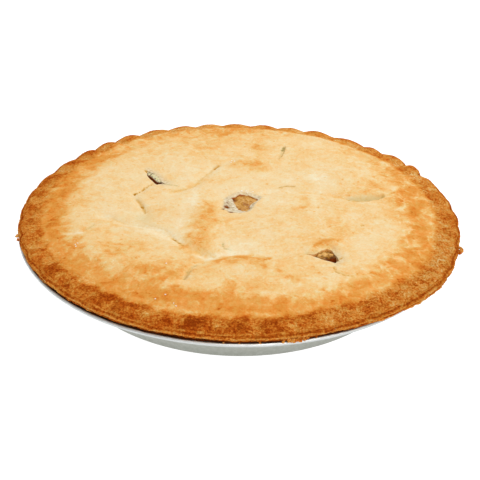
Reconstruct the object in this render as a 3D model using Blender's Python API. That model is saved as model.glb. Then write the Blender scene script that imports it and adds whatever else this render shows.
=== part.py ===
"""An apple pie with a flat top crust and a crimped rim, whole, baked in its foil tin.

Units are metres with +Z up. The origin is the centre of the tin's underside, and -Y is the front.
Angles run anticlockwise from +X, seen from above. Places on the crust are given as fractions of
LIP_RADIUS.
"""

import math

import bmesh
import bpy
import numpy as np
from mathutils import Matrix, Vector

# Foil tin
LIP_RADIUS = 0.122
LIP_BOTTOM = 0.0259
BASE_RADIUS = 0.094
WALL_TOP_RADIUS = 0.1115
BEAD_RADIUS = 0.00095
FOIL = 0.0004
BASE_ROUNDING = 0.004
FLANGE_ROUNDING = 0.0015
LEAST_ROUNDING = 0.001
TIN_SIDES = 80
BEAD_SIDES = 7
BEAD_CENTRE = Vector((LIP_RADIUS - BEAD_RADIUS, LIP_BOTTOM + BEAD_RADIUS))
FLANGE_BOTTOM = BEAD_CENTRE.y - FOIL / 2

# Pastry: the pieces lie GAP apart, and the lid's lower face comes down to the seam between two radii
GAP = 0.0003
CASE_THICKNESS = 0.0032
LID_THICKNESS = 0.0036
EDGE_BOTTOM = 0.0287
SEAM = 0.0299
PLATEAU = 0.0365
LID_UNDERSIDE = PLATEAU - LID_THICKNESS
LID_SLOPE_INSIDE, BRIM_INSIDE = 0.086, 0.1075
BRIM = 0.0351
BRIM_START, BRIM_END = 0.72, 0.885
# How far inside the bead's centre the case leaves the flange and its brim's underside begins
CASE_LEAVES_FLANGE, BRIM_BEGINS = 0.004, 0.0022

# How far each lining lies inside the tin's underside
CASE_OUTSIDE = FOIL + GAP
CASE_INSIDE = CASE_OUTSIDE + CASE_THICKNESS
FILLING_OUTSIDE = CASE_INSIDE + GAP

# Outline of the rim as shares of LIP_RADIUS: set a little to the right and back of the tin, and
# pulled out at the front right
EDGE_RIGHT, EDGE_BACK = 0.009, 0.003
EDGE_OVAL = 0.003
EDGE_BULGES = ((325, 14, 0.018), (152, 18, -0.005), (32, 16, -0.005))
EDGE_SCALLOP = 0.0045
# Shares of its own radius by which the rim is fuller half way down, and drawn in at its foot
EDGE_FULLNESS, EDGE_FOOT = 1.003, 0.995

# Crimped rim: rounded crests between sharp valleys
FLUTES = 40
FLUTE_PITCH = math.tau / FLUTES
FIRST_VALLEY = math.radians(4.9)
FLUTE_DRIFT = ((3, 0.10, 0.4), (7, 0.08, 2.1), (11, 0.05, 5.0))
FLUTE_SWELLS = (
    (28, 6, 0.35), (64, 5, 0.25), (91, 16, -0.20), (128, 12, 0.30),
    (182, 16, -0.45), (240, 25, -0.25), (300, 20, -0.15), (340, 14, -0.30),
)
POINTS_PER_FLUTE = 6
HIGHEST_ARCH = 1.4
# (share of the rim's radius, crest height, valley height)
RIM_PROFILE = (
    (0.865, 0.0354, 0.0354),
    (0.895, 0.0350, 0.0345),
    (0.925, 0.0347, 0.0336),
    (0.955, 0.0343, 0.0327),
    (0.982, 0.0336, 0.0318),
    (1.000, 0.0320, 0.0310),
)
RIM_TILT = 0.0006
# Share of the rim's radius over which the plateau's shape gives way to the rim's
RIM_BLEND = (0.845, 0.875)

# Swells of the top crust, which fade out from RELIEF_END: (x, y, half width, half depth, turn in
# degrees, height)
RELIEF_END = 0.75
LUMPS = (
    (-0.15, -0.15, 0.07, 0.25, 0, 0.0012),
    (0.03, 0.45, 0.14, 0.07, 8, 0.0010),
    (0.55, 0.30, 0.16, 0.15, 0, 0.0012),
    (-0.34, -0.56, 0.22, 0.15, -25, 0.0015),
    (0.10, -0.57, 0.20, 0.11, 5, 0.0014),
    (0.46, -0.64, 0.14, 0.12, 0, 0.0007),
    (0.41, -0.32, 0.05, 0.045, 0, 0.0011),
    (-0.64, -0.40, 0.15, 0.11, -30, 0.0012),
    (-0.42, -0.12, 0.09, 0.08, 0, -0.0013),
    (0.27, -0.15, 0.22, 0.18, 0, 0.0008),
    (-0.27, 0.44, 0.20, 0.16, 30, 0.0008),
    (0.24, 0.32, 0.12, 0.10, 0, -0.0006),
    (-0.62, 0.20, 0.14, 0.18, 0, 0.0006),
    (0.01, 0.02, 0.15, 0.14, 0, -0.0007),
)
# Folds pressed into it: (half width, depth, places along it)
FOLDS = (
    (0.030, 0.0013, ((-0.60, -0.13), (-0.49, -0.19), (-0.40, -0.21), (-0.28, -0.31), (-0.15, -0.45))),
    (0.026, 0.0010, ((-0.15, -0.45), (-0.09, -0.47), (0.00, -0.44), (0.11, -0.45), (0.28, -0.40))),
    (0.024, 0.0009, ((-0.30, 0.11), (-0.21, 0.18), (-0.16, 0.30), (-0.11, 0.40), (-0.03, 0.46))),
    (0.024, 0.0007, ((0.15, 0.15), (0.34, 0.14), (0.51, 0.10))),
    (0.020, 0.0008, ((-0.41, 0.19), (-0.49, 0.07), (-0.42, -0.07))),
    (0.024, 0.0007, ((-0.11, -0.47), (-0.17, -0.54), (-0.21, -0.66))),
)

# Open vents: (name, share of the outline that is left at the bottom, outline on the crust's top)
VENTS = (
    ("centre_vent", 0.72, (
        (-0.068, 0.062), (-0.020, 0.112), (0.060, 0.112), (0.108, 0.078), (0.082, 0.030),
        (0.066, -0.030), (0.022, -0.078), (-0.040, -0.068), (-0.074, -0.030),
    )),
    ("left_vent", 0.86, (
        (-0.447, 0.336), (-0.412, 0.312), (-0.382, 0.262), (-0.364, 0.208),
        (-0.388, 0.188), (-0.420, 0.232), (-0.443, 0.282),
    )),
    ("right_vent", 0.86, (
        (0.286, -0.410), (0.338, -0.396), (0.384, -0.352), (0.420, -0.385),
        (0.436, -0.448), (0.410, -0.502), (0.352, -0.476), (0.306, -0.436),
    )),
)
# Slits that stay shut: (start, end, width)
SLITS = (
    ((0.512, 0.080), (0.692, 0.112), 0.040),
    ((0.198, 0.498), (0.234, 0.656), 0.022),
    ((-0.676, -0.262), (-0.636, -0.208), 0.022),
    ((-0.182, -0.566), (-0.212, -0.664), 0.024),
)
SLIT_DEPTH = 0.0016
# (share of the slit's length, share of its breadth) above the crust, and where its keel runs
SLIT_SIDES = ((0, 0.25), (0.3, 1), (0.7, 1), (1, 0.25))
SLIT_KEEL = (0.25, 0.75)
# Vent cutters reach above and below the lid, and flare above it
CUT_BELOW, CUT_LEVEL, CUT_ABOVE, CUT_FLARE = 0.0015, 0.0005, 0.004, 1.2

# Apple seen in the open vents: (x, y, half length, half width, turn in degrees, height of its top)
APPLE_PIECES = (
    (0.036, 0.022, 0.0066, 0.0046, 75, 0.0347),
    (0.004, 0.066, 0.0026, 0.0022, 20, 0.0338),
    (0.370, -0.420, 0.0044, 0.0036, 35, 0.0343),
    (0.394, -0.456, 0.0026, 0.0024, -40, 0.0336),
)
APPLE_SINK = 0.003
FILLING_TOP_RADII = (0.102, 0.094, 0.086, 0.055, 0.025, 0)

LID_CELL = 0.0046
UNDERSIDE_CELL = 0.012
ARC_STEPS = 3


def clear_scene():
    for leftover in list(bpy.data.objects):
        bpy.data.objects.remove(leftover, do_unlink=True)


def material(name, colour, roughness, metallic=0.0):
    made = bpy.data.materials.new(name)
    made.use_nodes = True
    shader = made.node_tree.nodes["Principled BSDF"]
    shader.inputs["Base Color"].default_value = (*colour, 1.0)
    shader.inputs["Roughness"].default_value = roughness
    shader.inputs["Metallic"].default_value = metallic
    return made


# Outlines of turned pieces


def offset(corners, distance):
    """A run of straight lines moved towards its left by a distance, with mitred corners."""
    points = [Vector(corner) for corner in corners]
    lefts = []
    for start, end in zip(points, points[1:]):
        along = (end - start).normalized()
        lefts.append(Vector((-along.y, along.x)))
    moved = [points[0] + distance * lefts[0]]
    for point, before, after in zip(points[1:], lefts, lefts[1:]):
        mitre = (before + after).normalized()
        moved.append(point + distance * mitre / mitre.dot(before))
    moved.append(points[-1] + distance * lefts[-1])
    return moved


def rounded(corners, radii):
    """The same run with an arc at each inner corner."""
    run = [corners[0]]
    for before, corner, after, radius in zip(corners, corners[1:], corners[2:], radii):
        inward = (before - corner).normalized()
        onward = (after - corner).normalized()
        half_turn = (math.pi - inward.angle(onward)) / 2
        middle = corner + (inward + onward).normalized() * radius / math.cos(half_turn)
        start = corner + inward * radius * math.tan(half_turn) - middle
        turn = half_turn * 2 * math.copysign(1, -inward.cross(onward))
        for step in range(ARC_STEPS):
            run.append(middle + Matrix.Rotation(turn * step / (ARC_STEPS - 1), 2) @ start)
    run.append(corners[-1])
    return run


def tin_line(distance):
    """The tin's underside from the axis to the flange, moved inwards by a distance."""
    corners = ((0, 0), (BASE_RADIUS, 0), (WALL_TOP_RADIUS, FLANGE_BOTTOM), (LIP_RADIUS, FLANGE_BOTTOM))
    moved = offset(corners, distance)
    return rounded(moved, (max(BASE_ROUNDING - distance, LEAST_ROUNDING), FLANGE_ROUNDING + distance))


def lining(distance, top):
    """The same line up to the wall's foot, and then its wall drawn straight up to the height top."""
    *foot, wall_top = tin_line(distance)[:-ARC_STEPS]
    slope = (wall_top.x - foot[-1].x) / (wall_top.y - foot[-1].y)
    return [*foot, Vector((wall_top.x + (top - wall_top.y) * slope, top))]


# The crust's shape


def bump(angle, centre, width):
    """1 at an angle of centre degrees, falling off over width degrees."""
    turn = np.angle(np.exp(1j * (angle - math.radians(centre))))
    return np.exp(-((turn / math.radians(width)) ** 2))


def flute_phase(angle):
    """Flutes counted from the first valley, so whole numbers are valleys."""
    drift = sum(size * np.sin(waves * angle + shift) for waves, size, shift in FLUTE_DRIFT)
    return (angle - FIRST_VALLEY) / FLUTE_PITCH + drift


def flute_angles(count):
    """Angles at even steps of flute phase, so that every valley has a point."""
    phase = np.arange(count) * FLUTES / count
    angle = FIRST_VALLEY + phase * FLUTE_PITCH
    for _ in range(8):
        angle = angle + (phase - flute_phase(angle)) * FLUTE_PITCH
    return angle


def flute_arch(angle):
    """0 in a valley and about 1 on a crest, with each flute's own size."""
    swell = 1 + sum(size * bump(angle, centre, width) for centre, width, size in FLUTE_SWELLS)
    return swell * np.abs(np.sin(math.pi * flute_phase(angle)))


def edge_radius(angle):
    share = 1 + EDGE_RIGHT * np.cos(angle) + EDGE_BACK * np.sin(angle) + EDGE_OVAL * np.cos(2 * angle)
    share = share + sum(size * bump(angle, centre, width) for centre, width, size in EDGE_BULGES)
    return LIP_RADIUS * (share + EDGE_SCALLOP * flute_arch(angle))


def smooth_step(value, start, end):
    share = np.clip((value - start) / (end - start), 0, 1)
    return share * share * (3 - 2 * share)


def distance_to_run(x, y, places):
    """How far each point is from a run of straight lines."""
    nearest = np.full(np.shape(x), np.inf)
    for (x0, y0), (x1, y1) in zip(places, places[1:]):
        length_squared = (x1 - x0) ** 2 + (y1 - y0) ** 2
        along = np.clip(((x - x0) * (x1 - x0) + (y - y0) * (y1 - y0)) / length_squared, 0, 1)
        nearest = np.minimum(nearest, np.hypot(x - x0 - along * (x1 - x0), y - y0 - along * (y1 - y0)))
    return nearest


def relief(x, y):
    """Lumps and folds of the top crust at places given as shares of LIP_RADIUS."""
    height = np.zeros(np.shape(x))
    for x0, y0, half_width, half_depth, turn, size in LUMPS:
        c, s = math.cos(math.radians(turn)), math.sin(math.radians(turn))
        across = ((x - x0) * c + (y - y0) * s) / half_width
        along = ((y - y0) * c - (x - x0) * s) / half_depth
        height += size * np.exp(-(across**2) - along**2)
    for half_width, depth, places in FOLDS:
        height -= depth * np.exp(-((distance_to_run(x, y, places) / half_width) ** 2))
    return height


def lid_top(radius, angle):
    """Height of the top crust's upper face."""
    share = radius / edge_radius(angle)
    shares, crests, valleys = zip(*RIM_PROFILE)
    arch = np.clip(flute_arch(angle), 0, HIGHEST_ARCH)
    valley = np.interp(share, shares, valleys)
    rim = valley + (np.interp(share, shares, crests) - valley) * arch + RIM_TILT * np.sin(angle)
    plateau = PLATEAU + (BRIM - PLATEAU) * smooth_step(share, BRIM_START, BRIM_END)
    x = radius * np.cos(angle) / LIP_RADIUS
    y = radius * np.sin(angle) / LIP_RADIUS
    plateau = plateau + relief(x, y) * (1 - smooth_step(share, RELIEF_END, BRIM_END))
    return plateau + (rim - plateau) * smooth_step(share, *RIM_BLEND)


def lid_bottom(radius):
    """Height of the top crust's plain lower face, which lies on the case's brim and the filling."""
    rise = 1 - smooth_step(radius, LID_SLOPE_INSIDE, BRIM_INSIDE)
    return SEAM + GAP / 2 + (LID_UNDERSIDE - SEAM) * rise


# Closed meshes from rings of points


def even_angles(count):
    return FIRST_VALLEY + np.arange(count) * math.tau / count


def ring(radius, height, count=None, angles=None):
    """Points round the axis. Radius and height are one number or one for each point."""
    if angles is None:
        angles = even_angles(count)
    radius = np.broadcast_to(radius, angles.shape)
    height = np.broadcast_to(height, angles.shape)
    return np.stack([radius * np.cos(angles), radius * np.sin(angles), height], axis=1)


def stitch(builder, first, second):
    """Triangles between two rings, which may hold different numbers of points."""
    steps_first = len(first) if len(first) > 1 else 0
    steps_second = len(second) if len(second) > 1 else 0
    a = b = 0
    while a < steps_first or b < steps_second:
        corner_a = first[a % len(first)]
        corner_b = second[b % len(second)]
        if b >= steps_second or (a < steps_first and (a + 1) * steps_second <= (b + 1) * steps_first):
            a += 1
            builder.faces.new((corner_a, first[a % len(first)], corner_b))
        else:
            b += 1
            builder.faces.new((corner_a, second[b % len(second)], corner_b))


def link(name, mesh, surface):
    made = bpy.data.objects.new(name, mesh)
    bpy.context.scene.collection.objects.link(made)
    if surface:
        mesh.materials.append(surface)
    return made


def skin(name, rings, surface, sharp_angle=40):
    """A closed object over rings of points that run from one pole to the other."""
    builder = bmesh.new()
    loops = [[builder.verts.new(point) for point in points] for points in rings]
    for first, second in zip(loops, loops[1:]):
        stitch(builder, first, second)
    bmesh.ops.recalc_face_normals(builder, faces=builder.faces)
    mesh = bpy.data.meshes.new(name)
    builder.to_mesh(mesh)
    builder.free()
    mesh.shade_smooth()
    mesh.set_sharp_from_angle(angle=math.radians(sharp_angle))
    return link(name, mesh, surface)


def turned(points, count):
    """Rings of a turned piece. A point on the axis is a pole."""
    return [ring(r, z, count=count if r > 1e-6 else 1) for r, z in points]


# Cutters


def hide(cutter):
    cutter.hide_render = True
    cutter.display_type = "WIRE"


def cut(body, cutter):
    hide(cutter)
    modifier = body.modifiers.new(cutter.name, "BOOLEAN")
    modifier.operation = "DIFFERENCE"
    modifier.object = cutter


def vent_cutter(name, taper, outline):
    """A prism through the lid that narrows downwards."""
    top = np.array([(x * LIP_RADIUS, y * LIP_RADIUS) for x, y in outline])
    middle = top.mean(axis=0)
    builder = bmesh.new()
    levels = (
        (LID_UNDERSIDE - CUT_BELOW, taper),
        (PLATEAU + CUT_LEVEL, 1),
        (PLATEAU + CUT_ABOVE, CUT_FLARE),
    )
    loops = []
    for height, scale in levels:
        places = middle + (top - middle) * scale
        loops.append([builder.verts.new((x, y, height)) for x, y in places])
    builder.faces.new(loops[0])
    builder.faces.new(loops[-1])
    for first, second in zip(loops, loops[1:]):
        stitch(builder, first, second)
    bmesh.ops.recalc_face_normals(builder, faces=builder.faces)
    mesh = bpy.data.meshes.new(name)
    builder.to_mesh(mesh)
    builder.free()
    return link(name, mesh, None)


def slit_cutter(name, start, end, width):
    """A thin boat-shaped wedge whose keel lies SLIT_DEPTH below the crust."""
    start, end = Vector(start) * LIP_RADIUS, Vector(end) * LIP_RADIUS
    along = end - start
    across = Vector((-along.y, along.x)).normalized() * width * LIP_RADIUS / 2
    middle = (start + end) / 2
    radius, angle = middle.length, math.atan2(middle.y, middle.x)
    surface = float(lid_top(np.float64(radius), np.float64(angle)))
    points = []
    for share, breadth in SLIT_SIDES:
        place = start + along * share
        for side in (-1, 1):
            spot = place + across * breadth * side * 2
            points.append((spot.x, spot.y, surface + SLIT_DEPTH))
    for share in SLIT_KEEL:
        place = start + along * share
        points.append((place.x, place.y, surface - SLIT_DEPTH))
    builder = bmesh.new()
    made = [builder.verts.new(point) for point in points]
    bmesh.ops.convex_hull(builder, input=made)
    bmesh.ops.recalc_face_normals(builder, faces=builder.faces)
    mesh = bpy.data.meshes.new(name)
    builder.to_mesh(mesh)
    builder.free()
    return link(name, mesh, None)


# The pieces


def make_foil_pan():
    """Pressed foil: a flat base, a sloping wall, a narrow flange and a rolled lip."""
    under = tin_line(0)[:-1]
    upper = tin_line(FOIL)[:-1]
    tuck = math.asin(FOIL / 2 / BEAD_RADIUS)
    bead = []
    for step in range(BEAD_SIDES + 1):
        turn = math.pi + tuck + (math.tau - 2 * tuck) * step / BEAD_SIDES
        bead.append(BEAD_CENTRE + BEAD_RADIUS * Vector((math.cos(turn), math.sin(turn))))
    rings = turned([*under, *bead, *reversed(upper)], TIN_SIDES)
    return skin("foil_pan", rings, material("foil", (0.60, 0.60, 0.58), 0.38, 1.0), 30)


def make_bottom_crust():
    """The pastry case that lines the tin, with its brim lying over the flange."""
    angles = flute_angles(TIN_SIDES)
    edge = edge_radius(angles)
    outside = tin_line(CASE_OUTSIDE)[:-1]
    brim_top = SEAM - GAP / 2
    leaves_flange = Vector((BEAD_CENTRE.x - CASE_LEAVES_FLANGE, outside[-1].y))
    rings = turned([*outside, leaves_flange], TIN_SIDES)
    rings.append(ring(BEAD_CENTRE.x - BRIM_BEGINS, EDGE_BOTTOM, angles=angles))
    rings.append(ring(edge * EDGE_FOOT, EDGE_BOTTOM, angles=angles))
    rings.append(ring(edge, brim_top, angles=angles))
    rings += turned(reversed(lining(CASE_INSIDE, brim_top)), TIN_SIDES)
    return skin("bottom_crust", rings, material("browned_pastry", (0.50, 0.24, 0.07), 0.75))


def make_filling():
    """Apple filling up to the lid, with the pieces that the open vents show."""
    top = [Vector((radius, lid_bottom(radius) - GAP)) for radius in FILLING_TOP_RADII]
    rings = turned([*lining(FILLING_OUTSIDE, SEAM - GAP), *top], TIN_SIDES // 2)
    filling = skin("filling", rings, material("apple_filling", (0.42, 0.22, 0.05), 0.3))
    pieces = bpy.data.collections.new("apple_pieces")
    bpy.context.scene.collection.children.link(pieces)
    for index, (x, y, half_length, half_width, turn, top_height) in enumerate(APPLE_PIECES):
        builder = bmesh.new()
        bmesh.ops.create_icosphere(builder, subdivisions=2, radius=1)
        mesh = bpy.data.meshes.new(f"apple_{index}")
        builder.to_mesh(mesh)
        builder.free()
        half_height = top_height - LID_UNDERSIDE + APPLE_SINK
        place = Vector((x * LIP_RADIUS, y * LIP_RADIUS, top_height - half_height))
        spin = Matrix.Rotation(math.radians(turn), 4, "Z")
        size = Matrix.Diagonal((half_length, half_width, half_height, 1))
        mesh.transform(Matrix.Translation(place) @ spin @ size)
        pieces.objects.link(bpy.data.objects.new(f"apple_{index}", mesh))
    return fuse(filling, pieces)


def fuse(body, pieces):
    """Joins a collection of overlapping pieces onto a body, and removes them."""
    modifier = body.modifiers.new("pieces", "BOOLEAN")
    modifier.operation = "UNION"
    modifier.operand_type = "COLLECTION"
    modifier.collection = pieces
    evaluated = body.evaluated_get(bpy.context.evaluated_depsgraph_get())
    joined = bpy.data.meshes.new_from_object(evaluated)
    body.modifiers.clear()
    body.data = joined
    for piece in list(pieces.objects):
        bpy.data.objects.remove(piece, do_unlink=True)
    bpy.data.collections.remove(pieces)
    return body


def make_top_crust():
    """The lid: a gently lumpy plateau, a fluted rim, three open vents and four shut slits."""
    rings = [ring(0, PLATEAU, count=1)]
    rim_start = RIM_PROFILE[0][0] * LIP_RADIUS
    steps = round(rim_start / LID_CELL)
    for step in range(1, steps):
        radius = rim_start * step / steps
        angles = even_angles(round(math.tau * radius / LID_CELL))
        rings.append(ring(radius, lid_top(radius, angles), angles=angles))
    angles = flute_angles(FLUTES * POINTS_PER_FLUTE)
    edge = edge_radius(angles)
    for share, _, _ in RIM_PROFILE:
        rings.append(ring(edge * share, lid_top(edge * share, angles), angles=angles))
    rings.append(ring(edge * EDGE_FULLNESS, (lid_top(edge, angles) + SEAM) / 2, angles=angles))
    rings.append(ring(edge, SEAM + GAP / 2, angles=angles))
    under_steps = round(BRIM_INSIDE / UNDERSIDE_CELL)
    for step in range(under_steps, 0, -1):
        radius = BRIM_INSIDE * step / under_steps
        rings.append(ring(radius, lid_bottom(radius), count=round(math.tau * radius / UNDERSIDE_CELL)))
    rings.append(ring(0, lid_bottom(0), count=1))
    lid = skin("top_crust", rings, material("golden_pastry", (0.80, 0.52, 0.24), 0.7), 60)
    for name, taper, outline in VENTS:
        cut(lid, vent_cutter(name, taper, outline))
    for index, (start, end, width) in enumerate(SLITS):
        cut(lid, slit_cutter(f"slit_{index}", start, end, width))
    return lid


def main():
    clear_scene()
    make_foil_pan()
    make_bottom_crust()
    make_filling()
    make_top_crust()


main()
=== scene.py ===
"""Looks of an apple pie with a flat top crust and a crimped rim, baked in its foil tin.

Units are metres with +Z up. The origin is the centre of the tin's underside, and -Y is the front.
Angles run anticlockwise from +X, seen from above. Places on the crust are given as fractions of
LIP_RADIUS, or in its hundredths where a table says so. Browning runs from 0, pale dough, to 1,
nearly burnt.
"""

import math

import bmesh
import bpy
import numpy as np
from mathutils import Matrix, Vector


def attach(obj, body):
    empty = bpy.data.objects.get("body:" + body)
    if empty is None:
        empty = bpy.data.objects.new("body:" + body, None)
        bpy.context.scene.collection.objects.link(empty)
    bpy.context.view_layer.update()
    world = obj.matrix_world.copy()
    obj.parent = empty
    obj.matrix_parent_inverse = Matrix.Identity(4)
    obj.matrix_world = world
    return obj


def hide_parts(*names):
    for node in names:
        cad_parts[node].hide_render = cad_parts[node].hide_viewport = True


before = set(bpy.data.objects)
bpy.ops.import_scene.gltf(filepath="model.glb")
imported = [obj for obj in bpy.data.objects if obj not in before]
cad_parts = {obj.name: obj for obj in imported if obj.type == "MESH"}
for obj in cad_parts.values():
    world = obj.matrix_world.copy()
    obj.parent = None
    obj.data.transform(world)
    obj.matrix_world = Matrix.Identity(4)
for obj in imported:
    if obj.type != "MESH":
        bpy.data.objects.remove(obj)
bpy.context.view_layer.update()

# Foil tin
LIP_RADIUS = 0.122
LIP_BOTTOM = 0.0259
BASE_RADIUS = 0.094
WALL_TOP_RADIUS = 0.1115
BEAD_RADIUS = 0.00095
FOIL = 0.0004
BASE_ROUNDING = 0.004
FLANGE_ROUNDING = 0.0015
ARC_STEPS = 8
BEAD_CENTRE = Vector((LIP_RADIUS - BEAD_RADIUS, LIP_BOTTOM + BEAD_RADIUS))
FLANGE_BOTTOM = BEAD_CENTRE.y - FOIL / 2

# Pastry. The lid and the case meet at the seam, and a gap parts the tin, case, filling and lid.
GAP = 0.0003
CASE_THICKNESS = 0.0032
LID_THICKNESS = 0.0036
EDGE_BOTTOM = 0.0287
SEAM = 0.0299
PLATEAU = 0.0365
BRIM = 0.0351
BRIM_START, BRIM_END = 0.72, 0.885
BRIM_INSIDE = 0.1075
# Its edge, in shares of LIP_RADIUS: the shifts to the right and back, the oval, bulges and scallops
EDGE_RIGHT, EDGE_BACK = 0.009, 0.003
EDGE_OVAL = 0.003
EDGE_BULGES = (
    (325, 14, 0.018), (152, 18, -0.005), (32, 16, -0.005), (21.8, 2.0, 0.009), (29.8, 1.4, 0.006),
)
EDGE_SCALLOP = 0.0045
# How far the ragged lower edge stands above EDGE_BOTTOM: (angle in degrees, height)
EDGE_LIFT = (
    (0, -0.0002), (120, 0.0), (200, 0.0002), (225, 0.0005), (239, 0.0006), (247, 0.0008), (255, 0.001),
    (262, 0.0012), (268, 0.0006), (277, 0.0007), (282, 0.0003), (286, 0.0004), (289, 0.0011),
    (293, 0.0011), (296, 0.0006), (300, 0.0), (304, -0.0005), (320, -0.0007), (340, -0.0005),
    (360, -0.0002),
)

# Crimped rim
FLUTES = 40
FLUTE_PITCH = math.tau / FLUTES
FIRST_VALLEY = math.radians(4.9)
FLUTE_DRIFT = ((3, 0.10, 0.4), (7, 0.08, 2.1), (11, 0.05, 5.0))
# What makes them uneven, in rows for bumps: shifts in flutes, swells, a filled valley, deeper scallops
FLUTE_SHIFTS = ((24.5, 3.2, -0.25), (42, 4.5, -0.27))
FLUTE_SWELLS = (
    (28, 6, 0.35), (30, 3, 0.5), (37, 4, 0.45), (64, 5, 0.25), (91, 16, -0.2), (128, 12, 0.3),
    (182, 16, -0.45), (240, 25, -0.25), (300, 20, -0.15), (340, 14, -0.3),
)
FILLED_VALLEYS = ((12.5, 5, 0.8),)
DEEPER_SCALLOPS = ((31, 9, 1.2),)
# (share of the rim's radius, crest height, valley height)
RIM_PROFILE = (
    (0.865, 0.0354, 0.0354), (0.895, 0.035, 0.0345), (0.925, 0.0347, 0.0336), (0.955, 0.0343, 0.0327),
    (0.982, 0.0336, 0.0318), (1, 0.032, 0.031),
)
RIM_TILT = 0.0006
# Share of the rim's radius from which its outside shows its layers
SHOULDER = 0.983
# The outside of the lid, downwards, and of the case, upwards: (share of the way, bulge, raggedness)
LID_SIDE = (
    (0.14, 0.00028, 0.4), (0.32, 0.00042, 0.9), (0.52, 0.00046, 1), (0.72, 0.00040, 1),
    (0.90, 0.00020, 1), (1.0, -0.0001, 1),
)
CASE_SIDE = (
    (0.0, -0.0006, 1), (0.12, 0.0, 1), (0.35, 0.0003, 1), (0.6, 0.0003, 1), (0.85, 0.0001, 1),
    (1.0, -0.0002, 1),
)

# About how wide the lid's triangles are: on its top, at its rim and beneath it
LID_CELL, RIM_CELL, UNDER_CELL = 0.00090, 0.00070, 0.006
# Share of the rim's radius from which the lid's points follow the flutes
RIM_MESH_START = 0.862
# How far the finer triangles reach round the torn slope, a vent, a crack and a slit
NEAR_SLOPE, NEAR_VENT, NEAR_CRACK, NEAR_SLIT = 0.015, 0.02, 0.02, 0.012
# Points round the rim of the lid and of the case, the tin, the case, the filling, a vent and its apple
LID_RIM_ROUND, CASE_RIM_ROUND = FLUTES * 26, FLUTES * 24
TIN_ROUND, CASE_ROUND, FILLING_ROUND, VENT_ROUND, PLUG_ROUND = 480, 160, 120, 72, 90
# The filling's top: its radius, the step between its rings, and about how far apart their points are
FILLING_RADIUS, FILLING_STEP, FILLING_CELL = 0.102, 0.0011, 0.0013

# Swells of the top crust: (x, y, half width, half depth, height, turn in degrees or none)
LUMPS = (
    (-0.15, -0.15, 0.07, 0.25, 0.0012), (0.03, 0.45, 0.14, 0.07, 0.001, 8),
    (0.55, 0.3, 0.16, 0.15, 0.0012), (-0.34, -0.56, 0.22, 0.15, 0.0015, -25),
    (0.1, -0.57, 0.2, 0.11, 0.0014, 5), (0.46, -0.64, 0.14, 0.12, 0.0007),
    (0.41, -0.32, 0.05, 0.045, 0.0011), (-0.64, -0.4, 0.15, 0.11, 0.0012, -30),
    (-0.42, -0.12, 0.09, 0.08, -0.0013), (0.27, -0.15, 0.22, 0.18, 0.0008),
    (-0.27, 0.44, 0.2, 0.16, 0.0008, 30), (0.24, 0.32, 0.12, 0.1, -0.0006),
    (-0.62, 0.2, 0.14, 0.18, 0.0006), (0.01, 0.02, 0.15, 0.14, -0.0007),
)
# Folds pressed into it: (half width, depth, places along it)
FOLDS = (
    (0.03, 0.0013, ((-0.6, -0.13), (-0.49, -0.19), (-0.4, -0.21), (-0.28, -0.31), (-0.15, -0.45))),
    (0.026, 0.001, ((-0.15, -0.45), (-0.09, -0.47), (0.0, -0.44), (0.11, -0.45), (0.28, -0.4))),
    (0.024, 0.0009, ((-0.3, 0.11), (-0.21, 0.18), (-0.16, 0.3), (-0.11, 0.4), (-0.03, 0.46))),
    (0.024, 0.0007, ((0.15, 0.15), (0.34, 0.14), (0.51, 0.1))),
    (0.02, 0.0008, ((-0.41, 0.19), (-0.49, 0.07), (-0.42, -0.07))),
    (0.024, 0.0007, ((-0.11, -0.47), (-0.17, -0.54), (-0.21, -0.66))),
)
# Hairline cracks and small creases: (half width, depth, darkness, places along it)
CRACKS = (
    (0.0028, 0.0005, 0.48, ((-0.485, 0.094), (-0.455, 0.13), (-0.411, 0.202))),
    (0.004, 0.0005, 0.36, ((-0.488, 0.09), (-0.478, 0.102))),
    (0.0074, 0.0005, 0.32, ((-0.47, 0.044), (-0.454, 0.014), (-0.44, -0.02))),
    (0.0056, 0.0005, 0.34, ((-0.44, -0.02), (-0.427, -0.052), (-0.423, -0.068))),
    (0.005, 0.0007, 0.55, ((-0.452, 0.338), (-0.444, 0.318), (-0.437, 0.298))),
    (0.0034, 0.0006, 0.58, ((-0.285, -0.302), (-0.262, -0.332), (-0.234, -0.366))),
    (0.0056, 0.001, 0.44, ((-0.12, 0.385), (-0.108, 0.404), (-0.096, 0.422))),
    (0.0042, 0.0004, 0.23, (
        (-0.31, 0.13), (-0.25, 0.16), (-0.205, 0.205), (-0.165, 0.3), (-0.122, 0.375),
    )),
    (0.0036, 0.0003, 0.12, (
        (-0.56, -0.14), (-0.5, -0.178), (-0.37, -0.2), (-0.32, -0.24), (-0.27, -0.31),
    )),
    (0.0036, 0.0003, 0.12, ((-0.234, -0.366), (-0.2, -0.4), (-0.15, -0.44))),
    (0.0034, 0.0006, 0.48, ((0.196, 0.186), (0.225, 0.207), (0.27, 0.2065))),
    (0.0028, 0.0006, 0.52, ((0.403, -0.529), (0.415, -0.581), (0.448, -0.602), (0.476, -0.607))),
    (0.0024, 0.0006, 0.6, ((0.292, -0.424), (0.312, -0.438))),
    (0.0028, 0.0005, 0.55, ((0.425, -0.477), (0.448, -0.443))),
    (0.0036, 0.0007, 0.66, ((0.555, -0.175), (0.566, -0.172))),
    (0.0022, 0.0003, 0.18, ((-0.15, -0.4), (-0.12, -0.435), (-0.09, -0.47))),
    (0.0034, 0.0004, 0.3, ((0.516, 0.066), (0.56, 0.06), (0.61, 0.066), (0.656, 0.086))),
    (0.0036, 0.0004, 0.46, ((0.65, 0.083), (0.674, 0.102), (0.69, 0.13))),
)
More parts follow.
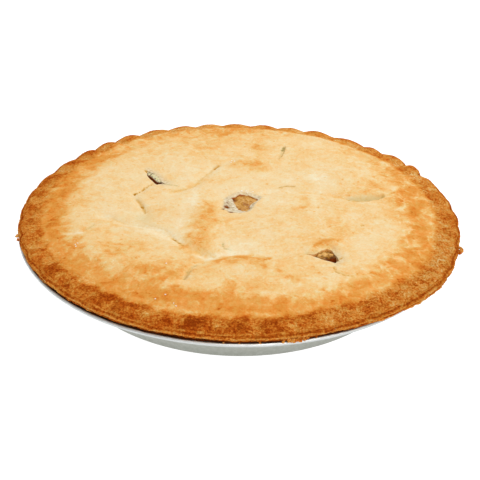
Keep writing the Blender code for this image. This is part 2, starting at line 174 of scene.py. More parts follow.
# The same in a sallow grey-green: partly crust that stayed raw, partly painted shade in the slits and beside
# the vents
SALLOW_CRACKS = (
    (0.0034, 0.0005, 0.5, ((-0.355, 0.204), (-0.317, 0.19), (-0.29, 0.184))),
    (0.003, 0.0004, 0.4, ((-0.165, -0.54), (-0.1845, -0.57))),
    (0.003, 0.0004, 0.6, ((-0.062, -0.355), (-0.058, -0.385), (-0.05, -0.403), (-0.025, -0.409))),
    (0.011, 0.0004, 0.22, ((0.296, -0.416), (0.326, -0.418), (0.346, -0.398))),
    (0.005, 0.0003, 0.75, ((0.222, 0.606), (0.234, 0.652))),
    (0.007, 0.0003, 0.2, ((0.206, 0.191), (0.225, 0.202), (0.264, 0.202))),
)
# Patches of the same, the first two painted shade in the hollow that LUMPS press at (-0.42, -0.12): (x, y,
# half width, half depth, strength)
SALLOW_PATCHES = (
    (-0.412, -0.135, 0.042, 0.075, 0.15), (-0.48, -0.12, 0.08, 0.04, 0.06),
    (-0.33, 0.225, 0.035, 0.03, 0.08),
)
# Slits that stay shut: (start, end, width, depth of the sunken face, darkness of its grey-green, raw crust
# and painted shade together)
SLITS = (
    ((0.502, 0.092), (0.694, 0.126), 0.080, 0.0016, 0.21),
    ((0.198, 0.494), (0.238, 0.664), 0.024, 0.0011, 0.16),
    ((-0.676, -0.262), (-0.636, -0.208), 0.020, 0.0006, 0.10),
    ((-0.182, -0.566), (-0.212, -0.664), 0.018, 0.0012, 0.26),
)

# Browning all round: (angle in degrees, outer plateau, golden band, rim, the rim's outer half).
# Each is added to what lies inside it.
BROWNING = (
    (0, 0.07, 0.25, 0.17, 0.0), (30, 0.05, 0.19, 0.19, 0.0), (60, 0.03, 0.03, 0.39, 0.05),
    (90, 0.09, 0.14, 0.18, 0.05), (120, 0.07, 0.11, 0.17, 0.0), (150, 0.03, 0.33, 0.18, 0.0),
    (180, 0.06, 0.35, 0.14, 0.0), (210, 0.04, 0.36, 0.21, 0.02), (240, 0.04, 0.3, 0.34, 0.06),
    (270, 0.06, 0.27, 0.32, 0.04), (300, 0.01, 0.33, 0.2, 0.07), (330, 0.04, 0.34, 0.13, 0.04),
)
BASE_BROWNING = 0.165
OUTER_START, OUTER_END = 0.58, 0.70
GOLD_START, GOLD_END = 0.73, 0.83
RIM_START, RIM_END = 0.886, 0.910
# Where along each flute the browned rim reaches furthest in, in flutes, at an angle in degrees
RIM_ARCHES = (
    (0, -0.2), (20, -0.4), (60, -0.5), (140, -0.2), (180, 0.3), (200, 0.2), (220, -0.05), (285, -0.08),
    (300, -0.25), (330, -0.35), (360, -0.2),
)
# How much further in it reaches, as a share of its radius, and the pale line inside it, a painted highlight
# along the ridge there, for bumps
RIM_REACH = ((30, 32, 0.010), (218, 30, -0.010), (322, 18, 0.011), (281, 14, 0.004), (110, 30, -0.006))
RIM_HIGHLIGHT_LINE = ((265, 75, 1.0), (22, 28, 1.9))
# Pale streaks and browned folds, all in hundredths: (half width, browning, places along it). The second row
# is a painted highlight along a ridge, the third a painted shadow on a fold's side.
STREAKS = (
    (1, -20, ((-77.2, -29.8), (-73.1, -29.5), (-68.5, -28.6))),
    # A painted highlight along a ridge
    (2, -9, ((-60.8, -22.7), (-49.7, -23.5), (-42.7, -26.2), (-38.3, -26.6), (-32.6, -31.7))),
    # A painted shadow on the side of a fold
    (1, 10, ((-29, -30), (-24, -36.2), (-20, -39.8))),
    (1.4, -10, ((-8, -45), (-2, -43.2), (4, -43))),
    (2.2, 27, ((-8, -50), (-3.4, -47.4), (1.4, -46.4), (6.5, -46.6), (12.5, -48))),
    (0.6, 16, ((-10, -49.2), (-6, -46.4), (0, -44.6), (6.5, -44.4), (10.7, -44.8))),
    (1.2, 13, ((-32.6, 11.9), (-26.8, 14.9), (-22.7, 18.1), (-19.4, 22.7))),
    (0.8, 7, ((-19.4, 22.7), (-15.8, 30.5), (-11.9, 38.5))),
    (0.9, 12, ((29.5, 14.5), (36.5, 13.7), (44, 12.4), (50.8, 9.2))),
    (1.4, 20, ((34.1, -36.5), (35.9, -34.6), (38.6, -32.7), (41.2, -32), (43.6, -32.8))),
)
# Patches, in hundredths: (x, y, half width, half depth, browning, turn in degrees or none)
PATCHES = (
    (8, 44, 11, 7.5, 17, 5), (-17, -33, 5, 11, 24, 5), (-15, -6, 4, 10, 15), (-7, -16, 5, 5, 8),
    (3, -51, 12, 3.5, 12, 3), (11.3, -49, 1, 1.2, 30), (10.7, -54.2, 2.2, 1.2, 12),
    (18.8, -61.1, 5, 3, 10), (3, -72, 10, 3.5, 15), (77, 8, 5, 8, 20), (-42, 57, 10, 6, 8, 30),
    (-75, 3, 5, 12, 6), (32, -72, 14, 6, -12, 25), (40, -34.5, 6, 3.5, 9), (45, -20, 4, 12, 8),
    (30, -2, 3.5, 6, 18), (31, 9, 4, 3, 9), (66, 18, 9, 8, 11), (9, 65, 3, 7, 20),
    (-47, -42, 13, 9, 14, 15), (-31, -62, 17, 10, 17, -10), (-62, -27, 7, 5, 8), (18, -60, 6, 4, 7),
    (-61, -52, 6, 6, -12), (-63, 15, 6, 7, -11), (-46, -66, 7, 5, -16, -10), (7, -80, 10, 3, -13),
    (1, -53, 7, 3, 12), (-4, -16, 4, 4, 7), (41, -38, 3, 2, 8), (-33, 68, 5, 4, 8), (77, 18, 3, 5, -26),
    (-8, -50, 3, 2, -18), (15, -50, 3, 2, -12), (28, -69, 4, 3, -6), (34, -33, 3, 3, -5),
    (9, -44, 3, 2, 7), (-14, -46, 3, 2, 6), (67, -30, 4, 4, 6), (-58, -20, 4, 3, 6),
    (-10, -79, 4, 2, 6), (-25, -68, 3, 3, 6), (64, 48, 5, 4, -7), (45, 42, 5, 4, -6),
    (13, -30, 4, 4, -6), (61, -47, 4, 4, -6), (-78, -18, 3, 5, -7), (-23, 71, 5, 4, 7),
    (-63, 40, 5, 4, 7), (6, 49, 4, 3, 7), (52, 16, 4, 3, 7), (-34, 16, 4, 3, 6), (2, 64, 5, 4, 7),
    (-9, 58, 5, 4, 6), (-17, -21, 3, 4, 5), (37, -58, 4, 3, -6), (-78, 15, 3, 5, -6),
    (-51, -28, 4, 3, -6), (38, -8, 4, 4, -6), (-14, -79, 4, 3, 8), (-15, -45, 3, 3, 7),
    (24, -41, 4, 2, 7), (-17, 13, 4, 5, -7), (-53, 58, 5, 5, -7), (-10, 39, 4, 4, -7),
    (-24, -22, 3, 4, -6), (-24, 48, 4, 4, -6), (-36, -71, 5, 3.5, -8), (3, 26, 5, 4, -7),
    (57, 53, 5, 5, -7), (-75, 27, 5, 6, -7), (-33, -55, 5, 3, -7), (49, 10, 4, 3, 14),
    (-2, 73, 5, 4, 9), (14, 35, 5, 4, 9), (86, -27, 4, 6, 12), (72, -56, 4, 4, 12),
    (85, -48, 5, 4, -12), (-54, -70, 5, 5, -10), (38.8, -35.5, 2.2, 1.4, 5), (-18, -73, 4, 3, -15),
    (-46, 24, 4, 6, -7), (1, 39, 5, 3, -7), (14, -58, 5, 3, -7), (-38, -49, 5, 4, -7),
    (-24, -37, 2.5, 4, 10, -20), (-57, -17, 6, 4, 8), (54, -24, 5, 6, 8), (74, -30, 5, 6, 8),
    (-75, -27, 5, 5, -11), (11, -25, 7, 6, -9), (-24, -19, 3, 9, -13), (-39, 70, 7, 4, -5),
    (-20, -77, 7, 5, 27), (-22.5, -39.5, 3, 5, 20, -20), (-56, -36, 5, 5, -10), (-17, 45, 5, 5, -9),
    (-17, -66, 4, 5, -9), (-10, -49, 4, 2.5, -15), (72, 20, 4, 5, -9), (-37, -37, 5, 5, -8),
    (-27, 30, 5, 6, -8), (34, 22, 6, 5, 11), (75, -20, 4, 7, 10), (-63, 42, 5, 5, 10),
    (-58, 68, 7, 5, 9), (10, 56, 5, 5, 7), (53, 14, 7, 4, 10), (78, 0, 3.5, 25, 8), (71, 37, 5, 6, 10),
    (72, 56, 6, 6, 8), (6.6, -92.8, 3, 2.2, -16), (20.5, -92, 3.4, 2.2, -18, 10),
    (33.5, -88, 4, 2.4, -18, 20), (-34.6, -86.5, 3, 1.8, -14, -20), (-42.2, -84, 3, 1.8, -12, -25),
    (-26.6, -91.2, 2, 1.6, 10), (-16.3, -92.8, 2.4, 2, 12), (-19.9, -95.2, 3, 1.2, 10),
    (-0.8, -92.8, 2.2, 1.6, 8), (-23, 4, 5, 11, -11, -10), (-21, 35, 4, 7, -7), (40, 32, 5, 10, -8),
    (2, 17, 7, 5, -10), (18, 8, 5, 6, -6), (-55, -9, 6, 5, -6), (2, -37, 12, 6, -11),
    (-33, -26, 10, 4, -10, -25), (32, 76, 13, 10, -7), (56, -36, 6, 9, -6),
)
# What all the patches are multiplied by
PATCH_GAIN = 1.1

# Outlines of the torn slope round the middle vent, and of the three holes that steam tore open
CENTRE_OUTSIDE = (
    (-0.07, 0.068), (-0.022, 0.132), (0.055, 0.144), (0.118, 0.094), (0.088, 0.03), (0.062, -0.045),
    (0.015, -0.08), (-0.045, -0.072), (-0.078, -0.03),
)
CENTRE_HOLE = (
    (-0.03, 0.092), (-0.01, 0.098), (0.006, 0.124), (0.048, 0.119), (0.1, 0.074), (0.062, 0.034),
    (0.054, 0.006), (0.062, -0.008), (0.04, -0.044), (0.002, -0.02), (-0.016, 0.04),
)
LEFT_HOLE = (
    (-0.447, 0.336), (-0.414, 0.31), (-0.388, 0.264), (-0.368, 0.226), (-0.35, 0.208), (-0.366, 0.2),
    (-0.388, 0.19), (-0.42, 0.232), (-0.443, 0.282),
)
RIGHT_HOLE = (
    (0.298, -0.428), (0.318, -0.432), (0.335, -0.424), (0.35, -0.406), (0.366, -0.388), (0.39, -0.375),
    (0.406, -0.385), (0.416, -0.406), (0.427, -0.438), (0.434, -0.47), (0.414, -0.503), (0.394, -0.49),
    (0.373, -0.481), (0.352, -0.469), (0.33, -0.455), (0.311, -0.441),
)
# (name, outline, share of it left at the bottom, rawness of its wall, browning of its wall)
VENTS = (
    ("centre_cut", CENTRE_HOLE, 0.94, 0.05, 0.80),
    ("left_cut", LEFT_HOLE, 0.90, 0.90, 0.30),
    ("right_cut", RIGHT_HOLE, 0.94, 0.10, 0.55),
)
# Apple that fills a vent: (vent's outline, shift in x and y, share of the outline, height of its
# top, fall towards its edge, roughness, paleness)
PLUGS = (
    (CENTRE_HOLE, 0.000, 0.000, 0.98, 0.0350, 0.0003, 0.00040, 0.0),
    (LEFT_HOLE, 0.001, 0.001, 1.03, 0.0361, 0.0000, 0.00025, 1.0),
    (RIGHT_HOLE, 0.000, 0.001, 0.98, 0.0348, 0.0001, 0.00045, -0.5),
)
# Pieces of apple that stand out of it, or with a negative height trenches that are painted dark as shade:
# (x, y, half width, half depth, height, turn or none)
CHUNKS = (
    (0.374, -0.412, 0.022, 0.02, 0.001), (0.412, -0.464, 0.03, 0.026, -0.0024, 30),
    (0.334, -0.442, 0.02, 0.014, -0.0008), (-0.018, 0.082, 0.012, 0.03, -0.0005, 20),
    (-0.417, 0.246, 0.013, 0.062, -0.0021, 28), (-0.38, 0.206, 0.026, 0.018, -0.0022, 27),
    (-0.386, 0.274, 0.012, 0.046, 0.0007, 30),
)
# Depth below the top of such apple over which it is painted dark as gel, painted shade, and how deep a
# trench must be to be painted so
SHADE_START, SHADE_END = 0.0005, 0.0019
TRENCH_START, TRENCH_END = 0.0001, 0.0007


# Numbers


def smooth_step(value, start, end):
    share = np.clip((value - start) / (end - start), 0, 1)
    return share * share * (3 - 2 * share)


def falloff(distance, width):
    """1 at no distance, falling off over a width."""
    return np.exp(-((distance / width) ** 2))


def bump(angle, centre, width):
    """1 at an angle of centre degrees, falling off over width degrees."""
    turn = np.angle(np.exp(1j * (angle - math.radians(centre))))
    return falloff(turn, math.radians(width))


def bumps(angle, rows):
    """A sum of such bumps: (centre, width, size)."""
    return sum(size * bump(angle, centre, width) for centre, width, size in rows)


def hashed(i, j, k, seed):
    """A fixed random number from -1 to 1 for each lattice point."""
    mixed = (i * 73856093) ^ (j * 19349663) ^ (k * 83492791) ^ (seed * 49979687)
    mixed = ((mixed ^ (mixed >> 15)) * 2246822519) & 0xFFFFFFFF
    mixed = ((mixed ^ (mixed >> 13)) * 3266489917) & 0xFFFFFFFF
    return (mixed ^ (mixed >> 16)) / 0x7FFFFFFF - 1


def lattice_noise(points, seed):
    low = np.floor(points).astype(np.int64)
    share = points - low
    fade = share * share * share * (share * (share * 6 - 15) + 10)
    value = np.zeros(len(points))
    for corner in np.ndindex(2, 2, 2):
        weight = np.prod(np.where(corner, fade, 1 - fade), axis=1)
        i, j, k = (low + corner).T
        value += weight * hashed(i & 0xFFFF, j & 0xFFFF, k & 0xFFFF, seed)
    return value


# Turns the lattice between octaves, so that its planes don't show
TURN = np.array(((0.64, 0.48, 0.60), (-0.60, 0.80, 0.00), (-0.48, -0.36, 0.80)))


def noise(points, size, seed, octaves=1):
    """Smooth noise from about -1 to 1 whose lumps are about size across."""
    points = np.asarray(points, float) / size
    total = np.zeros(len(points))
    for octave in range(octaves):
        points = points @ TURN.T * (2 if octave else 1) + 7.3
        total += 0.55**octave * lattice_noise(points, seed + octave)
    return total


def on_plane(x, y, z=0.0):
    return np.stack([x, y, np.full(np.shape(x), z)], axis=-1)


# Outlines of turned pieces


def offset(corners, distance):
    """A run of straight lines moved towards its left by a distance, with mitred corners."""
    points = [Vector(corner) for corner in corners]
    lefts = []
    for start, end in zip(points, points[1:]):
        along = (end - start).normalized()
        lefts.append(Vector((-along.y, along.x)))
    moved = [points[0] + distance * lefts[0]]
    for point, before, after in zip(points[1:], lefts, lefts[1:]):
        mitre = (before + after).normalized()
        moved.append(point + distance * mitre / mitre.dot(before))
    moved.append(points[-1] + distance * lefts[-1])
    return moved


def rounded(corners, radii, steps):
    """The same run with an arc at each inner corner."""
    run = [corners[0]]
    for before, corner, after, radius in zip(corners, corners[1:], corners[2:], radii):
        inward = (before - corner).normalized()
        onward = (after - corner).normalized()
        half_turn = (math.pi - inward.angle(onward)) / 2
        middle = corner + (inward + onward).normalized() * radius / math.cos(half_turn)
        start = corner + inward * radius * math.tan(half_turn) - middle
        turn = half_turn * 2 * math.copysign(1, -inward.cross(onward))
        for step in range(steps):
            run.append(middle + Matrix.Rotation(turn * step / (steps - 1), 2) @ start)
    run.append(corners[-1])
    return run


def tin_line(distance):
    """The tin's underside from the axis to the flange, moved inwards by a distance."""
    corners = ((0, 0), (BASE_RADIUS, 0), (WALL_TOP_RADIUS, FLANGE_BOTTOM), (LIP_RADIUS, FLANGE_BOTTOM))
    moved = offset(corners, distance)
    return rounded(moved, (max(BASE_ROUNDING - distance, 0.001), FLANGE_ROUNDING + distance), ARC_STEPS)


def wall_up_to(line, height):
    """Such a line up to its wall, which runs straight on up to a height."""
    low, high = line[-ARC_STEPS - 2 : -ARC_STEPS]
    reach = high.x + (height - high.y) * (high.x - low.x) / (high.y - low.y)
    return [*line[: -ARC_STEPS - 1], Vector((reach, height))]


def denser(points, spacing):
    """A run of points with more between them, so that none are further apart than spacing."""
    run = [points[0]]
    for start, end in zip(points, points[1:]):
        count = max(1, math.ceil((end - start).length / spacing))
        run += [start.lerp(end, step / count) for step in range(1, count + 1)]
    return run


# The crust's shape


def flute_phase(angle):
    """Flutes counted from the first valley, so whole numbers are valleys."""
    drift = sum(size * np.sin(waves * angle + shift) for waves, size, shift in FLUTE_DRIFT)
    return (angle - FIRST_VALLEY) / FLUTE_PITCH + drift + bumps(angle, FLUTE_SHIFTS)


def flute_angles(count):
    """Angles at even steps of flute phase, so that every valley has a point."""
    phase = np.arange(count) * FLUTES / count
    angle = FIRST_VALLEY + phase * FLUTE_PITCH
    for _ in range(20):
        angle = angle + (phase - flute_phase(angle)) * FLUTE_PITCH
    return angle


def flute_arch(angle):
    """0 in a valley and about 1 on a crest, with each flute's own size."""
    arch = (1 + bumps(angle, FLUTE_SWELLS)) * np.abs(np.sin(math.pi * flute_phase(angle)))
    return np.maximum(arch, bumps(angle, FILLED_VALLEYS))


def edge_radius(angle):
    share = 1 + EDGE_RIGHT * np.cos(angle) + EDGE_BACK * np.sin(angle) + EDGE_OVAL * np.cos(2 * angle)
    scallop = EDGE_SCALLOP * (1 + bumps(angle, DEEPER_SCALLOPS)) * flute_arch(angle)
    return LIP_RADIUS * (share + bumps(angle, EDGE_BULGES) + scallop)


def around(x, y):
    """The angle of each place, and its share of the crust's radius there."""
    angle = np.arctan2(y, x)
    return angle, np.hypot(x, y) / edge_radius(angle)


def distance_to_run(x, y, places):
    """How far each point is from a run of straight lines."""
    nearest = np.full(np.shape(x), np.inf)
    for (x0, y0), (x1, y1) in zip(places, places[1:]):
        length_squared = (x1 - x0) ** 2 + (y1 - y0) ** 2
        along = np.clip(((x - x0) * (x1 - x0) + (y - y0) * (y1 - y0)) / length_squared, 0, 1)
        nearest = np.minimum(nearest, np.hypot(x - x0 - along * (x1 - x0), y - y0 - along * (y1 - y0)))
    return nearest


def inside_by(x, y, outline):
    """Distance to a closed outline, positive inside it."""
    within = np.zeros(np.shape(x), bool)
    closed = (*outline, outline[0])
    for (x0, y0), (x1, y1) in zip(closed, closed[1:]):
        crosses = (y0 > y) != (y1 > y)
        if y1 != y0:
            within ^= crosses & (x < (x1 - x0) * (y - y0) / (y1 - y0) + x0)
    return np.where(within, 1, -1) * distance_to_run(x, y, closed)


def lobes(x, y, rows):
    """A sum of Gaussian lobes: (x, y, half width, half depth, size, turn in degrees or none)."""
    total = np.zeros(np.shape(x))
    for x0, y0, half_width, half_depth, size, *turn in rows:
        turn = math.radians(sum(turn))
        c, s = math.cos(turn), math.sin(turn)
        across = ((x - x0) * c + (y - y0) * s) / half_width
        along = ((y - y0) * c - (x - x0) * s) / half_depth
        total += size * np.exp(-(across**2) - along**2)
    return total


def traces(x, y, rows, column=1):
    """A sum over runs of lines: (half width, the sizes in columns 1 and on, places along it)."""
    total = np.zeros(np.shape(x))
    for row in rows:
        total += row[column] * falloff(distance_to_run(x, y, row[-1]), row[0])
    return total


def relief(x, y):
    """The lid's swells and the folds pressed into it."""
    return lobes(x, y, LUMPS) - traces(x, y, FOLDS)


def centre_slope(x, y):
    """0 outside the torn slope round the centre vent, and 1 at its hole's edge."""
    outer = np.maximum(inside_by(x, y, CENTRE_OUTSIDE), 0)
    inner = np.maximum(-inside_by(x, y, CENTRE_HOLE), 0)
    return outer / np.maximum(outer + inner, 1e-9)


def slit_face(x, y, slit, lip, fade):
    """1 on a slit's sunken face, behind a lip's width, and 1 along its near edge."""
    start, end, width, *_ = slit
    middle = (np.array(start) + end) / 2
    along = (np.array(end) - start) / 2
    half = np.hypot(*along)
    along = along / half
    share = ((x - middle[0]) * along[0] + (y - middle[1]) * along[1]) / half
    across = ((y - middle[1]) * along[0] - (x - middle[0]) * along[1]) / (width / 2)
    boat = np.clip(1 - share**2, 1e-6, 1) ** 0.5
    within = np.abs(share) < 1
    face = smooth_step(across, -boat, -boat + lip) * (1 - smooth_step(across, fade * boat, boat))
    return face * within, falloff(across + 0.85 * boat, 0.16) * within


def near_hole(x, y, hole, width):
    """1 in a hole, falling off over a width outside it."""
    return falloff(np.minimum(inside_by(x, y, hole), 0), width)


# Brown pits in the torn slope: (x, y, half width, half depth, depth, turn or none)
PITS = (
    (-0.05, -0.004, 0.013, 0.014, 0.001), (-0.066, -0.034, 0.007, 0.009, 0.0007),
    (-0.03, -0.062, 0.013, 0.007, 0.0007, -12), (-0.048, 0.04, 0.006, 0.012, 0.0005),
)


def crack_sum(x, y, rows, column):
    """The cracks' depth (column 1) or darkness (column 2) at each place."""
    wander = 0.004 * noise(on_plane(x, y), 0.02, 61)
    return traces(x + wander, y - wander, rows, column)


def fine_relief(x, y):
    """Cracks, the torn slope and the sunken faces of the slits, which are too fine for the solids."""
    height = -crack_sum(x, y, CRACKS + SALLOW_CRACKS, 1) - lobes(x, y, PITS)
    for slit in SLITS:
        height -= slit[3] * slit_face(x, y, slit, 0.25, -0.6)[0]
    sink = 0.0011 - 0.0004 * smooth_step(y, 0.04, 0.12)
    sink = sink + 0.0004 * noise(on_plane(x, y), 0.012, 62, 3)
    height -= smooth_step(centre_slope(x, y), 0.0, 1.0) * sink
    height -= 0.0009 * near_hole(x, y, RIGHT_HOLE, 0.026) * smooth_step(x + 1.3 * y, -0.30, -0.12)
    height -= 0.0005 * near_hole(x, y, LEFT_HOLE, 0.022) * smooth_step(x + 0.5 * y, -0.30, -0.23)
    return height


def rim_height(share, arch):
    """The crimped rim's profile, eased between its stations."""
    shares, crests, valleys = zip(*RIM_PROFILE)
    height = 0
    for shift in (-0.012, -0.004, 0.004, 0.012):
        moved = np.minimum(share + shift * (1 - smooth_step(share, 0.97, 1.0)), 1)
        valley = np.interp(moved, shares, valleys)
        height = height + (valley + (np.interp(moved, shares, crests) - valley) * arch) / 4
    return height


def crust_top(x, y):
    """Height of the top crust's upper face, with its fine relief."""
    angle, share = around(x, y)
    arch = np.clip(flute_arch(angle), 0, 1.4)
    rim = rim_height(share, arch) + RIM_TILT * np.sin(angle)
    plateau = PLATEAU + (BRIM - PLATEAU) * smooth_step(share, BRIM_START, BRIM_END)
    u, v = x / LIP_RADIUS, y / LIP_RADIUS
    flat = 1 - smooth_step(share, 0.75, BRIM_END)
    plateau += (relief(u, v) + fine_relief(u, v)) * flat
    blend = smooth_step(share, RIM_PROFILE[0][0] - 0.02, RIM_PROFILE[0][0] + 0.01)
    height = plateau + (rim - plateau) * blend
    spot = on_plane(x, y)
    height += 0.00022 * noise(spot, 0.016, 11, 2) + 0.00006 * noise(spot, 0.004, 13, 2)
    grain = smooth_step(share, 0.86, 0.92) * (0.6 + 0.5 * bump(angle, 330, 50))
    return height + grain * 0.00016 * noise(spot, 0.0024, 17, 3)


def lid_bottom(radius):
    rise = 1 - smooth_step(radius, 0.086, BRIM_INSIDE)
    return SEAM + GAP / 2 + (PLATEAU - LID_THICKNESS - SEAM) * rise


# Closed meshes from rings of points


def ring(radius, height, count=None, angles=None):
    if angles is None:
        angles = FIRST_VALLEY + np.arange(count) * math.tau / count
    radius = np.broadcast_to(radius, angles.shape)
    height = np.broadcast_to(height, angles.shape)
    return np.stack([radius * np.cos(angles), radius * np.sin(angles), height], axis=1)


def disc_ring(radius, height, cell):
    """A ring whose points are about a cell apart, or the single point on the axis."""
    return ring(radius, height, count=max(6, round(math.tau * radius / cell)) if radius else 1)


def turned(line, count):
    """Rings for a line turned about the axis, with a single point where it meets the axis."""
    return [ring(r, z, count=count if r > 1e-6 else 1) for r, z in line]


def capped(rings, middle):
    """The same rings between two poles."""
    first, last = (np.array([[*middle, rings[index][:, 2].mean()]]) for index in (0, -1))
    return [first, *rings, last]


def side_rings(angles, start, end, bands, ragged, size, seed):
    """Rings over the crust's ragged outside, from a start to an end height."""
    edge = edge_radius(angles)
    rings = []
    for share, bulge, raggedness in bands:
        height = start + (end - start) * share
        spot = ring(edge, height * 2, angles=angles)
        rough = raggedness * ragged * noise(spot, size, seed, 3)
        rings.append(ring(edge + bulge + rough, height, angles=angles))
    return rings


def stitch(first, second, from_first, from_second):
    """Triangles between two rings of first and second points, numbered from two starts."""
    rows = []
    if first > 1:
        step = np.arange(first)
        other = (-(-(step + 1) * second // first) - 1) % second if second > 1 else np.zeros(first, int)
        rows.append(np.stack([from_first + step, from_first + (step + 1) % first, from_second + other], 1))
    if second > 1:
        step = np.arange(second)
        other = ((step + 1) * first // second) % first if first > 1 else np.zeros(second, int)
        rows.append(np.stack([from_first + other, from_second + (step + 1) % second, from_second + step], 1))
    return np.concatenate(rows)


def skin_arrays(rings):
    """Points and outward triangles over rings that run from one pole to the other."""
    starts = np.cumsum([0] + [len(points) for points in rings])
    faces = [
        stitch(len(a), len(b), i, j) for a, b, i, j in zip(rings, rings[1:], starts, starts[1:])
    ]
    points, faces = np.concatenate(rings), np.concatenate(faces)
    corners = points[faces]
    if np.einsum("ij,ij->i", corners[:, 0], np.cross(corners[:, 1], corners[:, 2])).sum() < 0:
        faces = faces[:, ::-1]
    return points, faces


def placed(name, data):
    made = bpy.data.objects.new(name, data)
    bpy.context.scene.collection.objects.link(made)
    return made


def make_object(name, points, faces, sharp_angle=None):
    mesh = bpy.data.meshes.new(name)
    mesh.from_pydata(points.tolist(), [], faces.tolist())
    mesh.shade_smooth()
    if sharp_angle:
        mesh.set_sharp_from_angle(angle=math.radians(sharp_angle))
    return placed(name, mesh)


def near_detail(x, y):
    """Whether places in metres are close to a crack, a slit or a vent."""
    u, v = x / LIP_RADIUS, y / LIP_RADIUS
    near = inside_by(u, v, CENTRE_OUTSIDE) > -NEAR_SLOPE
    for _, outline, *_ in VENTS:
        near |= inside_by(u, v, outline) > -NEAR_VENT
    for *_, places in CRACKS + SALLOW_CRACKS:
        near |= distance_to_run(u, v, places) < NEAR_CRACK
    for start, end, width, *_ in SLITS:
        near |= distance_to_run(u, v, (start, end)) < width / 2 + NEAR_SLIT
    return near


def taken_from(builder):
    """The points and faces of a bmesh, which ends here."""
    builder.verts.index_update()
    points = np.array([vert.co for vert in builder.verts])
    faces = np.array([[vert.index for vert in face.verts] for face in builder.faces])
    builder.free()
    return points, faces


def subdivided(points, faces, near, cuts):
    """The same mesh with every edge between near points cut into cuts + 1."""
    builder = bmesh.new()
    made = [builder.verts.new(point) for point in points]
    for face in faces:
        builder.faces.new([made[index] for index in face])
    edges = [
        edge for edge in builder.edges if near[edge.verts[0].index] and near[edge.verts[1].index]
    ]
    bmesh.ops.subdivide_edges(builder, edges=edges, cuts=cuts, use_grid_fill=True)
    bmesh.ops.triangulate(builder, faces=builder.faces)
    return taken_from(builder)


def coordinates(mesh):
    flat = np.empty(len(mesh.vertices) * 3, np.float32)
    mesh.vertices.foreach_get("co", flat)
    return flat.reshape(-1, 3).astype(float)


def set_attributes(mesh, **values):
    for name, value in values.items():
        made = mesh.attributes.new(name, "FLOAT", "POINT")
        made.data.foreach_set("value", np.broadcast_to(value, len(mesh.vertices)).astype(np.float32))


def boolean(body, others, operation, sharp_angle):
    """Cuts others from a body or joins them to it, removes them, and shades it anew."""
    for other in others:
        modifier = body.modifiers.new(other.name, "BOOLEAN")
        modifier.operation = operation
        modifier.solver = "MANIFOLD"
        modifier.object = other
    bpy.context.view_layer.update()
    result = bpy.data.meshes.new_from_object(body.evaluated_get(bpy.context.evaluated_depsgraph_get()))
    body.modifiers.clear()
    body.data = result
    result.shade_smooth()
    result.set_sharp_from_angle(angle=math.radians(sharp_angle))
    for other in others:
        bpy.data.objects.remove(other, do_unlink=True)


def finished(piece, node, surface):
    """Rides the piece on the pie's one body, in place of its CAD node."""
    piece.data.materials.clear()
    piece.data.materials.append(surface)
    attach(piece, "root")
    if node:
        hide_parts(node)


# Materials


class Graph:
    """Adds nodes to a new material's tree and links them by socket name."""

    def __init__(self, name):
        self.material = bpy.data.materials.new(name)
        self.material.use_nodes = True
        self.tree = self.material.node_tree
        self.shader = self.tree.nodes["Principled BSDF"]
        self.place = self.add("ShaderNodeTexCoord").outputs["Object"]

    def add(self, kind, inputs=None, **settings):
        node = self.tree.nodes.new(kind)
        for key, value in settings.items():
            setattr(node, key, value)
        for key, value in (inputs or {}).items():
            self.put(node.inputs[key], value)
        return node

    def put(self, socket, value):
        if isinstance(value, bpy.types.NodeSocket):
            self.tree.links.new(value, socket)
        else:
            socket.default_value = value

    def attribute(self, name):
        return self.add("ShaderNodeAttribute", attribute_name=name).outputs["Fac"]

    def noise(self, size, detail=2.0, roughness=0.5, stretch=None, distortion=0.0, place=None):
        """Noise from 0 to 1 with lumps of about a size in metres."""
        place = place or self.place
        if stretch:
            place = self.add("ShaderNodeMapping", {"Vector": place, "Scale": stretch}).outputs[0]
        inputs = {
            "Vector": place, "Scale": 1 / size, "Detail": detail, "Roughness": roughness,
            "Distortion": distortion,
        }
        return self.add("ShaderNodeTexNoise", inputs).outputs[0]

    def math(self, operation, a, b=0.0, c=0.0):
        return self.add("ShaderNodeMath", {0: a, 1: b, 2: c}, operation=operation).outputs[0]

    def plus(self, a, share, total):
        return self.math("MULTIPLY_ADD", a, share, total)

    def times(self, a, b):
        return self.math("MULTIPLY", a, b)

    def waver(self, *settings, **more):
        """The same noise from -0.5 to 0.5."""
        return self.math("SUBTRACT", self.noise(*settings, **more), 0.5)

    def span(self, value, low, high, to_low=0.0, to_high=1.0):
        """The value's range low to high turned into another, and held at its ends."""
        inputs = {"Value": value, 1: low, 2: high, 3: to_low, 4: to_high}
        return self.add("ShaderNodeMapRange", inputs).outputs[0]

    def ramp(self, value, stops):
        node = self.add("ShaderNodeValToRGB", {"Fac": value})
        elements = node.color_ramp.elements
        while len(elements) < len(stops):
            elements.new(0.5)
        for element, (position, colour) in zip(elements, stops):
            element.position = position
            element.color = (*colour, 1)
        return node.outputs[0]

    def tones(self, value, *stops):
        """A ramp of screen colours: (position, red, green, blue)."""
        return self.ramp(value, [(position, linear(*colour)) for position, *colour in stops])

    def mix(self, share, a, b, blend="MIX"):
        node = self.add("ShaderNodeMix", data_type="RGBA", blend_type=blend)
        self.put(node.inputs["Factor"], share)
        for index, value in ((6, a), (7, b)):
            self.put(node.inputs[index], value if isinstance(value, bpy.types.NodeSocket) else (*value, 1))
        return node.outputs[2]

    def bump(self, height, distance, strength=1.0, under=None):
        inputs = {"Height": height, "Distance": distance, "Strength": strength}
        if under:
            inputs["Normal"] = under
        return self.add("ShaderNodeBump", inputs).outputs[0]

    def shade(self, **inputs):
        for key, value in inputs.items():
            self.put(self.shader.inputs[key.replace("_", " ")], value)
        return self.material


# How much light falls on the top of the pie, as a share of full white
LIGHT_ON_TOP = 1.08


